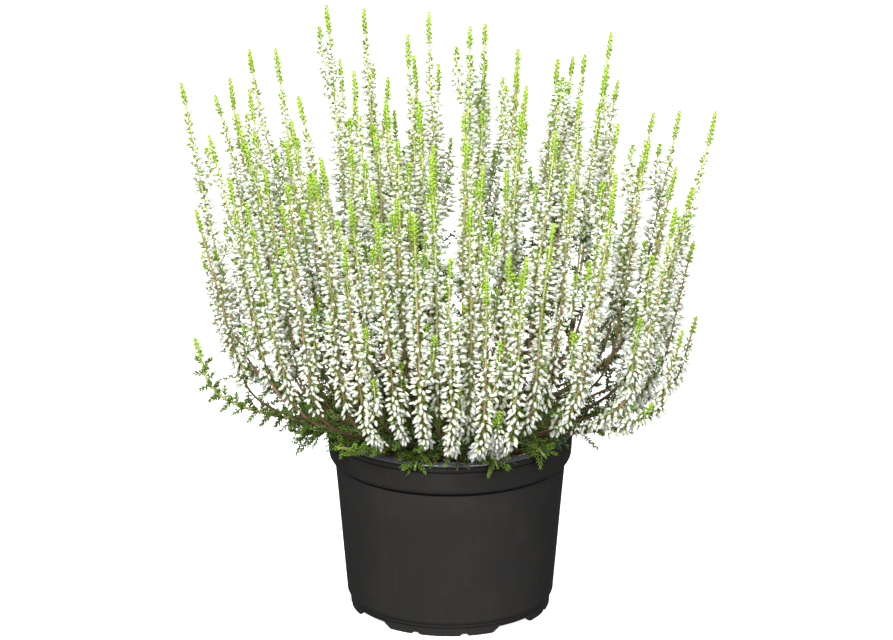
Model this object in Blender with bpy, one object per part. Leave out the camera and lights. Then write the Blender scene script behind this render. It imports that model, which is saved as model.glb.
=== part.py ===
"""Pot-grown white bud heather in a round nursery pot, standing on z = 0 with the pot's axis on x = y = 0.

The front of the plant looks towards -Y. Every shoot follows one family of curves: it leaves the soil
upright near the middle of the pot, arches out over the rim and turns up again. A shoot keeps its own
place (u, v) in the plant's plan all the way up, and the plan widens with height, so no two shoots cross.
"""

import math

import bmesh
import bpy
import numpy as np

MM = 0.001

# Pot: radii and heights of its moulded profile
FOOT_RADIUS = 53.8 * MM
FLOOR_UNDERSIDE = 5.0 * MM
FLOOR_TOP = 6.6 * MM
WALL_RADIUS_LOW = 55.7 * MM
WALL_RADIUS_HIGH = 61.8 * MM
GROOVE_HEIGHT = 82.3 * MM
COLLAR_RADIUS_LOW = 65.1 * MM
COLLAR_RADIUS_HIGH = 65.5 * MM
LIP_RADIUS = 66.1 * MM
LIP_UNDERSIDE = 96.8 * MM
RIM_TOP = 101.9 * MM
RIM_INNER_RADIUS = 61.3 * MM
INNER_RADIUS_HIGH = 60.5 * MM
INNER_RADIUS_LOW = 54.0 * MM
POT_SIDES = 32

# Pot: what is cut from its foot ring and floor
FOOT_COUNT = 4
FIRST_GAP_AZIMUTH = math.radians(39)
GAP_WIDTH_BELOW = 27 * MM
GAP_WIDTH_ABOVE = 18.5 * MM
GAP_HEIGHT = 3.3 * MM
NOTCH_FROM_FOOT_CENTRE = math.radians(14)
NOTCH_WIDTH = 5.2 * MM
NOTCH_HEIGHT = 1.4 * MM
DRAIN_RADIUS = 4.5 * MM
DRAIN_RING = 34 * MM

# Soil
SOIL_TOP = 92 * MM
SOIL_RELIEF = 1.0 * MM
SOIL_GAP = 0.3 * MM
SOIL_SIDES = 24
ROOT_DEPTH = 14 * MM
HOLE_RADIUS = 2.0 * MM
LEAFY_HOLE_RADIUS = 1.8 * MM

# The plan of the plant, as wide at each height as these give
CROWN_RADIUS = 22 * MM
CROWN_HEIGHT = 94 * MM
ARCH_WIDTH = 75 * MM
ARCH_HEIGHT = 23 * MM
ARCH_POWER = 1.6
LEAN = 0.2
SEED = 11

# Tips of the flower spikes that show from the front, in mm: across, depth (front is negative), height
SEEN_TIPS = (
    (-141, -20, 294), (-123, -55, 275), (-122, 25, 275), (-117, 60, 275), (-110, -25, 278), (-108, 75, 288),
    (-102, 5, 284), (-98, -70, 283), (-90, 35, 299), (-83, -85, 282), (-78, -50, 281), (-76, -15, 285),
    (-64, 15, 326), (-63, 60, 286), (-46, -25, 302), (-44, 55, 315), (-42, 85, 277), (-35, 25, 286),
    (-30, -60, 295), (-28, 110, 245), (-22, 5, 314), (-21, 60, 289), (-16, -35, 286), (-11, 35, 318),
    (-54, -110, 285), (-42, -90, 282), (-35, -70, 281), (-65, -125, 284), (-92, -100, 271), (-111, -80, 261),
    (-78, -115, 266), (-63, -95, 265), (-69, -135, 268), (-46, -125, 269), (-13, -110, 279), (-10, -130, 275),
    (10, 20, 314), (18, 50, 308), (34, 35, 297), (37, 0, 298), (39, -30, 295), (56, 10, 299), (65, 65, 287),
    (67, 40, 294), (87, 20, 311), (81, -10, 299), (89, 50, 277), (67, -45, 292), (61, 85, 259), (38, -70, 289),
    (43, -90, 287), (88, -50, 280), (104, 0, 273), (105, -35, 268), (120, 35, 265), (138, 0, 273),
    (115, -50, 257), (119, -70, 252), (5, -75, 292), (12, -95, 283), (-4, -60, 270), (18, -125, 279),
    (24, -100, 269), (55, -120, 268), (84, -90, 264), (79, -110, 263), (-128, -60, 237), (-99, -110, 252),
    (-78, -135, 249), (-62, -140, 264), (-35, -140, 265), (-55, -140, 244), (-23, -135, 240), (-16, -120, 253),
    (-5, -140, 222), (-133, -40, 162), (-56, -130, 208), (5, -135, 261), (40, -140, 253), (33, -130, 235),
    (7, -130, 217), (38, -135, 220), (29, -115, 220), (-12, -115, 218), (129, -40, 214), (114, -85, 245),
    (116, -75, 178), (126, -35, 172),
)

# Tips for the back of the plant: how many, their farthest place in the plan, the half turns between which
# they stand, how many places are tried for each, and their height in mm: in the middle of the plant, how
# much lower at its edge, and how much they vary
HIDDEN_COUNT = 13
HIDDEN_REACH = 1.14
HIDDEN_TURNS = (-0.12, 1.12)
HIDDEN_TRIALS = 400
HIDDEN_TOP = 302 * MM
HIDDEN_FALL = 42 * MM
HIDDEN_VARIATION = 46
PLANT_RADIUS = 143 * MM

# How tips that are nearer to each other than this in the plan are pushed apart: how much they give way
# across and in depth, how far in one round, in how many rounds, and how height changes along a line of sight
LEAST_SPACING = 0.158
SPREAD_GIVE = (0.35, 1.0)
SPREAD_STEP = 0.4
SPREAD_ROUNDS = 120
SIGHT_SLOPE = 0.29

# Tips of the green shoots without buds that stand among the spikes, in mm
GREEN_TIPS = (
    (-88, -62, 168), (60, -58, 130), (34, -78, 128), (-52, -72, 120), (70, -34, 122),
)

# Green shoots that lie over the rim: azimuth from the front in degrees, + to the right, and length in mm
RIM_SHOOTS = ((-80, 45), (-57, 35.5), (-15, 35.5), (20, 35.5), (44, 35.5), (120, 38), (-146, 38))
RIM_SHOOT_ROOT = 44 * MM
RIM_SHOOT_CLEARANCE = 1.6 * MM
RIM_SHOOT_DROP = 12 * MM
RIM_SHOOT_DROP_REACH = 16 * MM

# A spray: one shoot with up to this many side spikes, which leave it low down
MOST_SIDES = 2
SIDE_REACH = 0.34
CLEAR_OF_STEM = 0.078
FORK_HEIGHT = 99 * MM
FORK_END = 115 * MM

# The outer shoots sag: from which place in the plan, over how much more of it, and how far. The sag begins
# at the crown, over this rise, and is gone again over the second rise from a height
SAG_PLACE = 1.08
SAG_PLACE_RANGE = 0.14
SAG = 0.1
SAG_RISE = 12 * MM
SAG_END_HEIGHT = 112 * MM
SAG_END_RISE = 45 * MM

# Every shoot sways a little in the plan, from a height up, over this rise
SWAY = 0.016
SWAY_RATE = 6
SWAY_HEIGHT = 118 * MM
SWAY_RISE = 170 * MM

# A flower spike, from the soil up
STEM_RADIUS_BASE = 1.05 * MM
STEM_RADIUS_TOP = 0.75 * MM
SIDE_STEM_RADIUS = 0.8 * MM
STEM_RING_HEIGHTS = tuple(height * MM for height in (94, 99, 106, 118))
BUD_REACH = 5.1 * MM
BUD_VALLEY = 1.25 * MM
BUD_PITCH = 13.5 * MM
BUD_LIFT = 0.42
GREEN_TIP_LENGTH = 19 * MM
GREEN_TIP_REACH = 1.9 * MM
RING_TURN = math.radians(17)
LOWEST_FLOWER = 110 * MM
SECOND_FLOWER = 12 * MM
INNER_FLOWER = 190 * MM

# A leafy shoot
LEAST_GAP = 0.4 * MM
LEAFY_STEM_RADIUS = 0.8 * MM
GREEN_SHOOT_LEAVES = 100 * MM
LEAF_REACH = 2.3 * MM
LEAF_VALLEY = 0.8 * MM
LEAF_PITCH = 8 * MM
TWIGLET_LENGTH = 14 * MM
TWIGLET_PITCH = 15 * MM
TWIGLET_ANGLE = math.radians(48)


def material(name, colour, roughness):
    """A plain material of one colour."""
    made = bpy.data.materials.new(name)
    made.use_nodes = True
    shader = made.node_tree.nodes["Principled BSDF"]
    shader.inputs["Base Color"].default_value = (*colour, 1)
    shader.inputs["Roughness"].default_value = roughness
    shader.inputs["Metallic"].default_value = 0.0
    made.diffuse_color = (*colour, 1)
    return made


def new_object(name, points, faces, look, collection=None):
    """An object of these points, in metres, and faces."""
    mesh = bpy.data.meshes.new(name)
    mesh.from_pydata([tuple(point) for point in points], [], [tuple(face) for face in faces])
    mesh.materials.append(look)
    made = bpy.data.objects.new(name, mesh)
    (collection or bpy.context.scene.collection).objects.link(made)
    return made


def boolean(target, others, operation):
    """Joins the collection's objects to the target, or cuts them from it, and removes them."""
    modifier = target.modifiers.new(operation.title(), "BOOLEAN")
    modifier.operation = operation
    modifier.operand_type = "COLLECTION"
    modifier.collection = others
    modifier.solver = "EXACT"
    bpy.context.view_layer.update()
    graph = bpy.context.evaluated_depsgraph_get()
    result = bpy.data.meshes.new_from_object(target.evaluated_get(graph))
    target.modifiers.remove(modifier)
    old, target.data = target.data, result
    bpy.data.meshes.remove(old)
    for other in list(others.objects):
        bpy.data.objects.remove(other)
    bpy.data.collections.remove(others)


def helper_collection(name):
    """A collection for objects that a Boolean uses up."""
    made = bpy.data.collections.new(name)
    bpy.context.scene.collection.children.link(made)
    return made


def turned(profile, sides):
    """Points and faces of a profile turned round the z axis. Its first and last points are on the axis."""
    angles = np.arange(sides) * 2 * math.pi / sides
    ring = np.stack([np.cos(angles), np.sin(angles)], axis=1)
    points = [(0, 0, profile[0][1])]
    for radius, height in profile[1:-1]:
        points += [(radius * x, radius * y, height) for x, y in ring]
    points.append((0, 0, profile[-1][1]))
    last = len(points) - 1
    faces = []
    for side in range(sides):
        after = (side + 1) % sides
        faces.append((0, 1 + after, 1 + side))
        for level in range(len(profile) - 3):
            below = 1 + level * sides
            above = below + sides
            faces.append((below + side, below + after, above + after, above + side))
        faces.append((last - sides + side, last - sides + after, last))
    return points, faces


def prism(name, outline, low, high, look, collection):
    """A prism between two heights on an outline of (x, y) points that runs counter-clockwise."""
    count = len(outline)
    points = [(x, y, low) for x, y in outline] + [(x, y, high) for x, y in outline]
    sides = [(i, (i + 1) % count, (i + 1) % count + count, i + count) for i in range(count)]
    faces = [tuple(range(count))[::-1], tuple(range(count, 2 * count)), *sides]
    return new_object(name, points, faces, look, collection)


def round_prism(name, centre, radius, sides, low, high, look, collection):
    """An upright prism with a regular outline."""
    turns = [2 * math.pi * (i + 0.5) / sides for i in range(sides)]
    outline = [(centre[0] + radius * math.cos(t), centre[1] + radius * math.sin(t)) for t in turns]
    return prism(name, outline, low, high, look, collection)


def foot_cutter(name, azimuth, width_below, width_above, height, look, collection):
    """A wedge that runs out through the foot ring at an azimuth, narrower at its top than at its foot."""
    inner, outer = FOOT_RADIUS - 6 * MM, FOOT_RADIUS + 6 * MM
    out = np.array([math.sin(azimuth), -math.cos(azimuth), 0])
    side = np.array([math.cos(azimuth), math.sin(azimuth), 0])
    slope = (width_below - width_above) / height
    low = -1 * MM
    section = [
        (-width_below / 2 + slope * low / 2, low),
        (width_below / 2 - slope * low / 2, low),
        (width_above / 2, height),
        (-width_above / 2, height),
    ]
    points = [out * reach + side * across + (0, 0, up) for reach in (inner, outer) for across, up in section]
    faces = [(3, 2, 1, 0), (4, 5, 6, 7)] + [(i, (i + 1) % 4, (i + 1) % 4 + 4, i + 4) for i in range(4)]
    made = new_object(name, points, faces, look, collection)
    mesh = bmesh.new()
    mesh.from_mesh(made.data)
    bmesh.ops.recalc_face_normals(mesh, faces=mesh.faces)
    mesh.to_mesh(made.data)
    mesh.free()
    return made


def make_pot(look):
    """The pot: a tapered cup with a collar and lip, on a ring cut into wide feet, with drainage holes."""
    profile = [
        (0, FLOOR_UNDERSIDE),
        (FOOT_RADIUS - 2.4 * MM, FLOOR_UNDERSIDE),
        (FOOT_RADIUS - 2.2 * MM, 0),
        (FOOT_RADIUS, 0),
        (FOOT_RADIUS + 0.2 * MM, FLOOR_UNDERSIDE - 0.2 * MM),
        (WALL_RADIUS_LOW - 0.7 * MM, FLOOR_UNDERSIDE + 0.8 * MM),
        (WALL_RADIUS_LOW, 9.5 * MM),
        (WALL_RADIUS_HIGH, GROOVE_HEIGHT),
        (COLLAR_RADIUS_LOW - 0.6 * MM, GROOVE_HEIGHT + 2.4 * MM),
        (COLLAR_RADIUS_LOW, GROOVE_HEIGHT + 4.4 * MM),
        (COLLAR_RADIUS_HIGH, LIP_UNDERSIDE - 0.4 * MM),
        (LIP_RADIUS, LIP_UNDERSIDE),
        (LIP_RADIUS, RIM_TOP - 2 * MM),
        (LIP_RADIUS - 0.9 * MM, RIM_TOP - 0.5 * MM),
        (LIP_RADIUS - 2.4 * MM, RIM_TOP),
        (RIM_INNER_RADIUS, RIM_TOP - 1.2 * MM),
        (INNER_RADIUS_HIGH, GROOVE_HEIGHT),
        (INNER_RADIUS_LOW, FLOOR_TOP + 2.6 * MM),
        (INNER_RADIUS_LOW - 2.4 * MM, FLOOR_TOP),
        (0, FLOOR_TOP),
    ]
    pot = new_object("pot", *turned(profile, POT_SIDES), look)
    cutters = helper_collection("pot_cutters")
    step = 2 * math.pi / FOOT_COUNT
    for foot in range(FOOT_COUNT):
        gap = FIRST_GAP_AZIMUTH + foot * step
        foot_cutter(f"gap_{foot}", gap, GAP_WIDTH_BELOW, GAP_WIDTH_ABOVE, GAP_HEIGHT, look, cutters)
        for side in (-1, 1):
            notch = gap + step / 2 + side * NOTCH_FROM_FOOT_CENTRE
            name = f"notch_{foot}_{side}"
            foot_cutter(name, notch, NOTCH_WIDTH, NOTCH_WIDTH * 0.4, NOTCH_HEIGHT, look, cutters)
        centre = (DRAIN_RING * math.sin(gap), -DRAIN_RING * math.cos(gap))
        round_prism(f"drain_{foot}", centre, DRAIN_RADIUS, 10, 3 * MM, 9 * MM, look, cutters)
    round_prism("drain_centre", (0, 0), DRAIN_RADIUS, 10, 3 * MM, 9 * MM, look, cutters)
    boolean(pot, cutters, "DIFFERENCE")
    pot.data.shade_smooth()
    pot.data.set_sharp_from_angle(angle=math.radians(35))
    return pot


def soil_height(x, y):
    """The soil's uneven top, as two crossed waves."""
    wave = np.sin(x / (9 * MM) + 1.3) * np.cos(y / (11 * MM)) + 0.5 * np.sin((x + y) / (5 * MM))
    return SOIL_TOP + SOIL_RELIEF * 0.6 * wave


def make_soil(holes, look):
    """The soil: a plug that fills the pot to just under its rim, with a plain hole for each stem."""
    wall_low = (INNER_RADIUS_LOW - SOIL_GAP, FLOOR_TOP + 2.6 * MM)
    wall_high_radius = INNER_RADIUS_HIGH - SOIL_GAP
    edge = SOIL_TOP - 1 * MM
    profile = [
        (0, FLOOR_TOP + SOIL_GAP),
        (INNER_RADIUS_LOW - 2.6 * MM, FLOOR_TOP + SOIL_GAP),
        wall_low,
        (wall_high_radius, GROOVE_HEIGHT),
        (wall_high_radius + 0.2 * MM, edge),
        (0.75 * wall_high_radius, SOIL_TOP),
        (0.4 * wall_high_radius, SOIL_TOP),
        (0, SOIL_TOP),
    ]
    points, faces = turned(profile, SOIL_SIDES)
    points = [(x, y, soil_height(x, y)) if z == SOIL_TOP else (x, y, z) for x, y, z in points]
    soil = new_object("soil", points, faces, look)
    cutters = helper_collection("soil_holes")
    low = SOIL_TOP - ROOT_DEPTH - 1.5 * MM
    for index, (place, radius) in enumerate(holes):
        round_prism(f"hole_{index}", place, radius, 4, low, SOIL_TOP + 6 * MM, look, cutters)
    boolean(soil, cutters, "DIFFERENCE")
    return soil


def plan_width(height):
    """The plan's half width at a height: a crown that arches out over the rim, then widens slowly."""
    above = np.maximum(height - CROWN_HEIGHT, 0)
    arch = 1 - np.exp(-((above / ARCH_HEIGHT) ** ARCH_POWER))
    return CROWN_RADIUS + ARCH_WIDTH * arch + LEAN * above


def eased(t):
    """Rises smoothly from 0 at t = 0 to 1 at t = 1."""
    t = np.clip(t, 0, 1)
    return t * t * (3 - 2 * t)


def to_plan(tips):
    """Tips as (u, v, height): their place in the plan, where the plan's half width is 1."""
    tips = np.array(tips, float) * MM
    return np.column_stack([tips[:, :2] / plan_width(tips[:, 2])[:, None], tips[:, 2]])


def hidden_tips(shown, rng):
    """Tips for the back of the plant: each is the one of many random places that is farthest from the rest."""
    tips = list(shown)
    for _ in range(HIDDEN_COUNT):
        turn = rng.uniform(*HIDDEN_TURNS, HIDDEN_TRIALS) * math.pi
        reach = HIDDEN_REACH * np.sqrt(rng.uniform(0.05, 1, HIDDEN_TRIALS))
        places = np.column_stack([reach * np.cos(turn), reach * np.sin(turn)])
        taken = np.array(tips)[:, :2]
        nearest = np.linalg.norm(places[:, None] - taken[None], axis=2).min(axis=1)
        u, v = places[nearest.argmax()]
        outer = math.hypot(u, v)
        lower = HIDDEN_FALL * outer**2
        height = HIDDEN_TOP - lower - rng.uniform(0, HIDDEN_VARIATION) * MM * (0.4 + outer)
        widest = (PLANT_RADIUS / outer - CROWN_RADIUS - ARCH_WIDTH) / LEAN + CROWN_HEIGHT
        tips.append((u, v, min(height, widest)))
    return np.array(tips)


def spread(tips):
    """Pushes tips that are too near each other apart, mostly in depth, and keeps each on its line of sight
    and inside the plant's radius."""
    tips = tips.copy()
    give = np.array(SPREAD_GIVE)
    for _ in range(SPREAD_ROUNDS):
        gap = tips[:, None, :2] - tips[None, :, :2]
        far = np.linalg.norm(gap, axis=2) + 1e-9
        np.fill_diagonal(far, 9)
        push = np.maximum(LEAST_SPACING - far, 0) / far
        step = (gap * push[:, :, None]).sum(axis=1) * SPREAD_STEP * give
        tips[:, 2] -= step[:, 1] * plan_width(tips[:, 2]) * SIGHT_SLOPE
        tips[:, :2] += step
        reach = np.linalg.norm(tips[:, :2], axis=1) * plan_width(tips[:, 2])
        tips[:, :2] *= np.minimum(PLANT_RADIUS / reach, 1)[:, None]
    return tips


def distance_to_line(places, start, end):
    """How far each place in the plan is from the straight line between two others."""
    along = end - start
    part = np.clip(((places - start) @ along) / (along @ along), 0, 1)
    return np.linalg.norm(places - (start + part[:, None] * along), axis=1)


def crosses(a, b, c, d):
    """True where the line a-b crosses the line c-d in the plan."""

    def side(p, q, r):
        return (q[0] - p[0]) * (r[1] - p[1]) - (q[1] - p[1]) * (r[0] - p[0])

    return side(a, b, c) * side(a, b, d) < 0 and side(c, d, a) * side(c, d, b) < 0


def group_sprays(tips):
    """Groups of tips that share one root: from the edge inwards, a shoot takes its nearest free neighbours."""
    places = tips[:, :2]
    free = set(range(len(tips)))
    links, sprays = [], []
    for main in np.argsort(-np.hypot(places[:, 0], places[:, 1])):
        if main not in free:
            continue
        free.remove(main)
        sides = []
        for other in np.argsort(np.linalg.norm(places - places[main], axis=1))[1:]:
            apart = np.linalg.norm(places[other] - places[main])
            if len(sides) == MOST_SIDES or apart > SIDE_REACH:
                break
            rest = [i for i in range(len(tips)) if i not in (main, other)]
            near = distance_to_line(places[rest], places[main], places[other]).min()
            blocked = any(crosses(places[main], places[other], places[a], places[b]) for a, b in links)
            if other in free and near > CLEAR_OF_STEM and not blocked:
                free.remove(other)
                sides.append(int(other))
                links.append((main, other))
        sprays.append((int(main), sides))
    return sprays


def shoot_path(tip, root, wobble, count=160):
    """Points up a shoot, from under the soil to its tip. It starts at the root's place in the plan, moves to
    the tip's own place between the two fork heights, sways a little, and sags outwards if it is an outer one."""
    place, top = tip[:2], tip[2]
    low = SOIL_TOP - ROOT_DEPTH if np.array_equal(root, place) else FORK_HEIGHT
    height = np.linspace(low, top, count)
    move = eased((height - FORK_HEIGHT) / (FORK_END - FORK_HEIGHT))[:, None]
    plan = root[None] * (1 - move) + place[None] * move
    outer = eased((np.hypot(*place) - SAG_PLACE) / SAG_PLACE_RANGE)
    sag = eased((height - CROWN_HEIGHT) / SAG_RISE) * (1 - eased((height - SAG_END_HEIGHT) / SAG_END_RISE))
    plan = plan * (1 + SAG * outer * sag)[:, None]
    rise = np.clip((height - SWAY_HEIGHT) / SWAY_RISE, 0, 1)
    sway = np.sin(np.outer(rise, wobble[:2] * SWAY_RATE) + wobble[2:4]) - np.sin(wobble[2:4])
    plan = plan + SWAY * sway * rise[:, None]
    return np.column_stack([plan * plan_width(height)[:, None], height])


def frames(path):
    """Two unit directions across a path at each of its points, the first one level."""
    along = np.gradient(path, axis=0)
    along /= np.linalg.norm(along, axis=1)[:, None]
    out = path[-1, :2] / (np.linalg.norm(path[-1, :2]) + 1e-9)
    level = np.array([-out[1], out[0], 0.0])
    first = level - along * (along @ level)[:, None]
    first /= np.linalg.norm(first, axis=1)[:, None]
    return along, first, np.cross(along, first)


def run_along(path):
    """How far along a path each of its points is."""
    return np.concatenate([[0], np.cumsum(np.linalg.norm(np.diff(path, axis=0), axis=1))])


def at_lengths(path, lengths):
    """Points, and frames, at these lengths along a path."""
    run = run_along(path)
    parts = (path, *frames(path))
    return [np.column_stack([np.interp(lengths, run, part[:, i]) for i in range(3)]) for part in parts]


def length_at_height(path, height):
    """How far along a path it first reaches a height."""
    return float(np.interp(height, path[:, 2], run_along(path)))


def four_sided_tube(path, lengths, high, low, lift, turn):
    """A closed tube of four columns, one ring at each length. Every other column of a ring reaches out to
    `high` and the others to `low`, and the next ring swaps them, so the reached points stand out as buds or
    leaves. Each is a small pyramid whose four faces meet along the low points. The end is a point."""
    centre, along, first, second = at_lengths(path, lengths)
    rings, columns = len(lengths) - 1, 4
    ring, column = np.meshgrid(np.arange(rings), np.arange(columns), indexing="ij")
    out = (ring + column) % 2 == 0
    angle = column * math.pi / 2 + ring * turn
    reach = np.where(out, high[:rings, None], low[:rings, None])
    raised = np.where(out, lift[:rings, None], 0)
    across = np.cos(angle)[..., None] * first[:rings, None] + np.sin(angle)[..., None] * second[:rings, None]
    points = centre[:rings, None] + reach[..., None] * across + raised[..., None] * along[:rings, None]
    points = np.concatenate([points.reshape(-1, 3), centre[-1:]])
    faces = [(3, 2, 1), (3, 1, 0)]
    for k in range(rings - 1):
        for c in range(columns):
            a, b = 4 * k + c, 4 * k + (c + 1) % 4
            d, e = a + 4, b + 4
            faces += [(a, b, d), (b, e, d)] if (c + k) % 2 == 0 else [(a, b, e), (a, e, d)]
    last = 4 * (rings - 1)
    faces += [(last + c, last + (c + 1) % 4, 4 * rings) for c in range(4)]
    return points, faces


def flower_start(place):
    """The height where a spike's buds begin: near the rim on the outermost shoots, a little higher on the
    ones behind them, and high in the middle of the plant."""
    inner = np.clip((1.2 - np.hypot(*place)) / 0.2, 0, 1)
    deep = np.clip((1.0 - np.hypot(*place)) / 0.4, 0, 1)
    return LOWEST_FLOWER + SECOND_FLOWER * inner + (INNER_FLOWER - LOWEST_FLOWER - SECOND_FLOWER) * deep


def spike_rings(path, place, stem_radius):
    """A spike's rings: their lengths along the path, how far every other column reaches out, how far the
    rest do, and how far the first are raised. A bare stem, then rings of buds, then a slimmer green tip."""
    start_height = flower_start(place)
    low_end = path[0, 2]
    stem = [height for height in STEM_RING_HEIGHTS if low_end + 2 * MM < height < start_height - 9 * MM]
    stem = np.array([length_at_height(path, height) for height in (low_end, *stem, start_height)])
    start, green = stem[-1], run_along(path)[-1] - GREEN_TIP_LENGTH
    count = max(int(round((green - start) / BUD_PITCH)), 2)
    buds = start + (np.arange(count) + 1) * (green - start) / (count + 0.5)
    tip = green + GREEN_TIP_LENGTH * np.array([0.3, 1.0])
    taper = np.linspace(stem_radius, STEM_RADIUS_TOP, len(stem))
    fade = 1 - 0.3 * eased((buds - start) / (green - start))
    high = np.concatenate([taper, BUD_REACH * fade, [GREEN_TIP_REACH, 0]])
    low = np.concatenate([taper, BUD_VALLEY * fade, [GREEN_TIP_REACH * 0.7, 0]])
    lift = np.concatenate([0 * stem, buds * 0 + BUD_LIFT * BUD_PITCH, [1.5 * MM, 0]])
    return np.concatenate([stem, buds, tip]), high, low, lift


def flower_spike(path, rings):
    """The shape of a spike."""
    return four_sided_tube(path, *rings, RING_TURN)


def leafy_twig(path, stem_length, stem_radius, straight=0):
    """A green shoot: a bare stem, whose first stretch may be straight, then small leaves to its end."""
    total = run_along(path)[-1]
    stem = np.linspace(straight, stem_length, 2 + int((stem_length - straight) / (12 * MM)))
    stem = np.unique([0, *stem])
    count = max(int(round((total - stem_length) / LEAF_PITCH)), 2)
    leaves = stem_length + (np.arange(count) + 1) * (total - stem_length) / (count + 1)
    lengths = np.concatenate([stem, leaves, [total]])
    fade = 1 - 0.3 * np.linspace(0, 1, count)
    high = np.concatenate([stem * 0 + stem_radius, LEAF_REACH * fade, [0]])
    low = np.concatenate([stem * 0 + stem_radius, LEAF_VALLEY * fade, [0]])
    lift = np.concatenate([stem * 0, leaves * 0 + 0.35 * LEAF_PITCH, [0]])
    return four_sided_tube(path, lengths, high, low, lift, RING_TURN)


def twiglets(path, starts):
    """Short leafy side twigs of a shoot, by turns to its left and right, that leave it at these lengths."""
    centre, along, first, _ = at_lengths(path, np.array(starts))
    made = []
    for index in range(len(starts)):
        side = first[index] * (1 if index % 2 else -1)
        way = along[index] * math.cos(TWIGLET_ANGLE) + side * math.sin(TWIGLET_ANGLE)
        reach = np.linspace(0, TWIGLET_LENGTH, 12)[:, None]
        made.append(leafy_twig(centre[index] + reach * way, 2 * MM, 0.5 * MM))
    return made


def fuse(name, shapes, look):
    """One object of several closed shapes that grow from the first one."""
    made = new_object(name, *shapes[0], look)
    if len(shapes) > 1:
        others = helper_collection(name + "_parts")
        for index, (points, faces) in enumerate(shapes[1:]):
            new_object(f"{name}_{index}", points, faces, look, others)
        boolean(made, others, "UNION")
    return made


def rim_shoot(azimuth, length):
    """Shapes of a shoot that comes up beside the rim, runs bare across it and ends outside in a leafy fan.
    `t` runs from its root at 0 to its end at 1."""
    out = np.array([math.sin(azimuth), -math.cos(azimuth)])
    t = np.linspace(0, 1, 80)
    reach = RIM_SHOOT_ROOT + (length - 4 * MM) * eased((t - 0.21) / 0.99) ** 1.1
    climb = SOIL_TOP - ROOT_DEPTH * (1 - eased(t / 0.2))
    over = (RIM_TOP + RIM_SHOOT_CLEARANCE - SOIL_TOP) * eased((t - 0.12) / 0.4)
    drop = RIM_SHOOT_DROP * np.clip((reach - LIP_RADIUS) / RIM_SHOOT_DROP_REACH, 0, 1) ** 1.2
    path = np.column_stack([out[0] * reach, out[1] * reach, climb + over - drop])
    leaves = float(np.interp(LIP_RADIUS + 0.5 * MM, reach, run_along(path)))
    outside = leaves + np.array([0.5, 3, 5.5]) * MM
    main = leafy_twig(path, leaves, LEAFY_STEM_RADIUS, ROOT_DEPTH)
    return [main, *twiglets(path, outside)]


def crowd(spikes):
    """Points up the middle of all the spikes, and how far each spike reaches from there."""
    points, reaches = [], []
    for path, (lengths, high, _, _) in spikes:
        fine = np.arange(0, lengths[-1], 2 * MM)
        centres = at_lengths(path, lengths)[0]
        points.append(np.column_stack([np.interp(fine, lengths, centres[:, i]) for i in range(3)]))
        reaches.append(np.interp(fine, lengths, high))
    return np.concatenate(points), np.concatenate(reaches)


def edge_samples(shape):
    """Points along all the edges of a shape."""
    points, faces = shape
    faces = np.array(faces)
    edges = np.column_stack([faces.ravel(), np.roll(faces, -1, axis=1).ravel()])
    starts, ends = points[edges[edges[:, 0] < edges[:, 1]].T]
    return np.concatenate([starts + (ends - starts) * part for part in (0, 0.2, 0.4, 0.6, 0.8)])


def room(shape, points, reaches):
    """The least gap between a shape's edges and the crowd."""
    samples = edge_samples(shape)
    low, high = samples.min(axis=0) - 8 * MM, samples.max(axis=0) + 8 * MM
    near = ((points > low) & (points < high)).all(axis=1)
    if not near.any():
        return 8 * MM
    return (np.linalg.norm(samples[:, None] - points[None, near], axis=2) - reaches[near]).min()


def clearest(candidates, points, reaches):
    """Of several versions of a leafy shoot, each a list of shapes, the one with most room. Of its twiglets,
    only those that stay clear of other shoots are kept."""
    best, best_room = None, -1
    for shapes in candidates:
        main = min(room(shapes[0], points, reaches), 2 * LEAST_GAP)
        kept = [shape for shape in shapes[1:] if room(shape, points, reaches) > LEAST_GAP]
        score = main + 0.05 * MM * len(kept)
        if score > best_room:
            best, best_room = [shapes[0], *kept], score
    return best


def grown(crowded, shapes):
    """The crowd with a leafy shoot's corners added."""
    samples = np.concatenate([edge_samples(shape) for shape in shapes])
    points, reaches = crowded
    return np.concatenate([points, samples]), np.concatenate([reaches, np.full(len(samples), 1 * MM)])


def shoot_sways(count):
    """For each shoot, how fast it sways across and in depth, and where the sway starts."""
    rng = np.random.default_rng(SEED)
    return rng.uniform(0, 1, (count, 4)) * [1, 1, 2 * math.pi, 2 * math.pi] + [0.4, 0.4, 0, 0]


def green_shoot(tip, sway):
    """Shapes of an upright leafy shoot."""
    path = shoot_path(tip, tip[:2], sway)
    bare = length_at_height(path, GREEN_SHOOT_LEAVES)
    forks = np.arange(bare + 4 * MM, run_along(path)[-1] - 10 * MM, TWIGLET_PITCH)
    return [leafy_twig(path, bare, LEAFY_STEM_RADIUS, ROOT_DEPTH), *twiglets(path, forks)]


def places_near(tip):
    """A tip's own place in the plan, then places a little way round it."""
    yield tip
    for shift in (0.05, 0.1, 0.15):
        for turn in np.arange(8) * math.pi / 4:
            yield tip + [shift * math.cos(turn), shift * math.sin(turn), 0]


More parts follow.
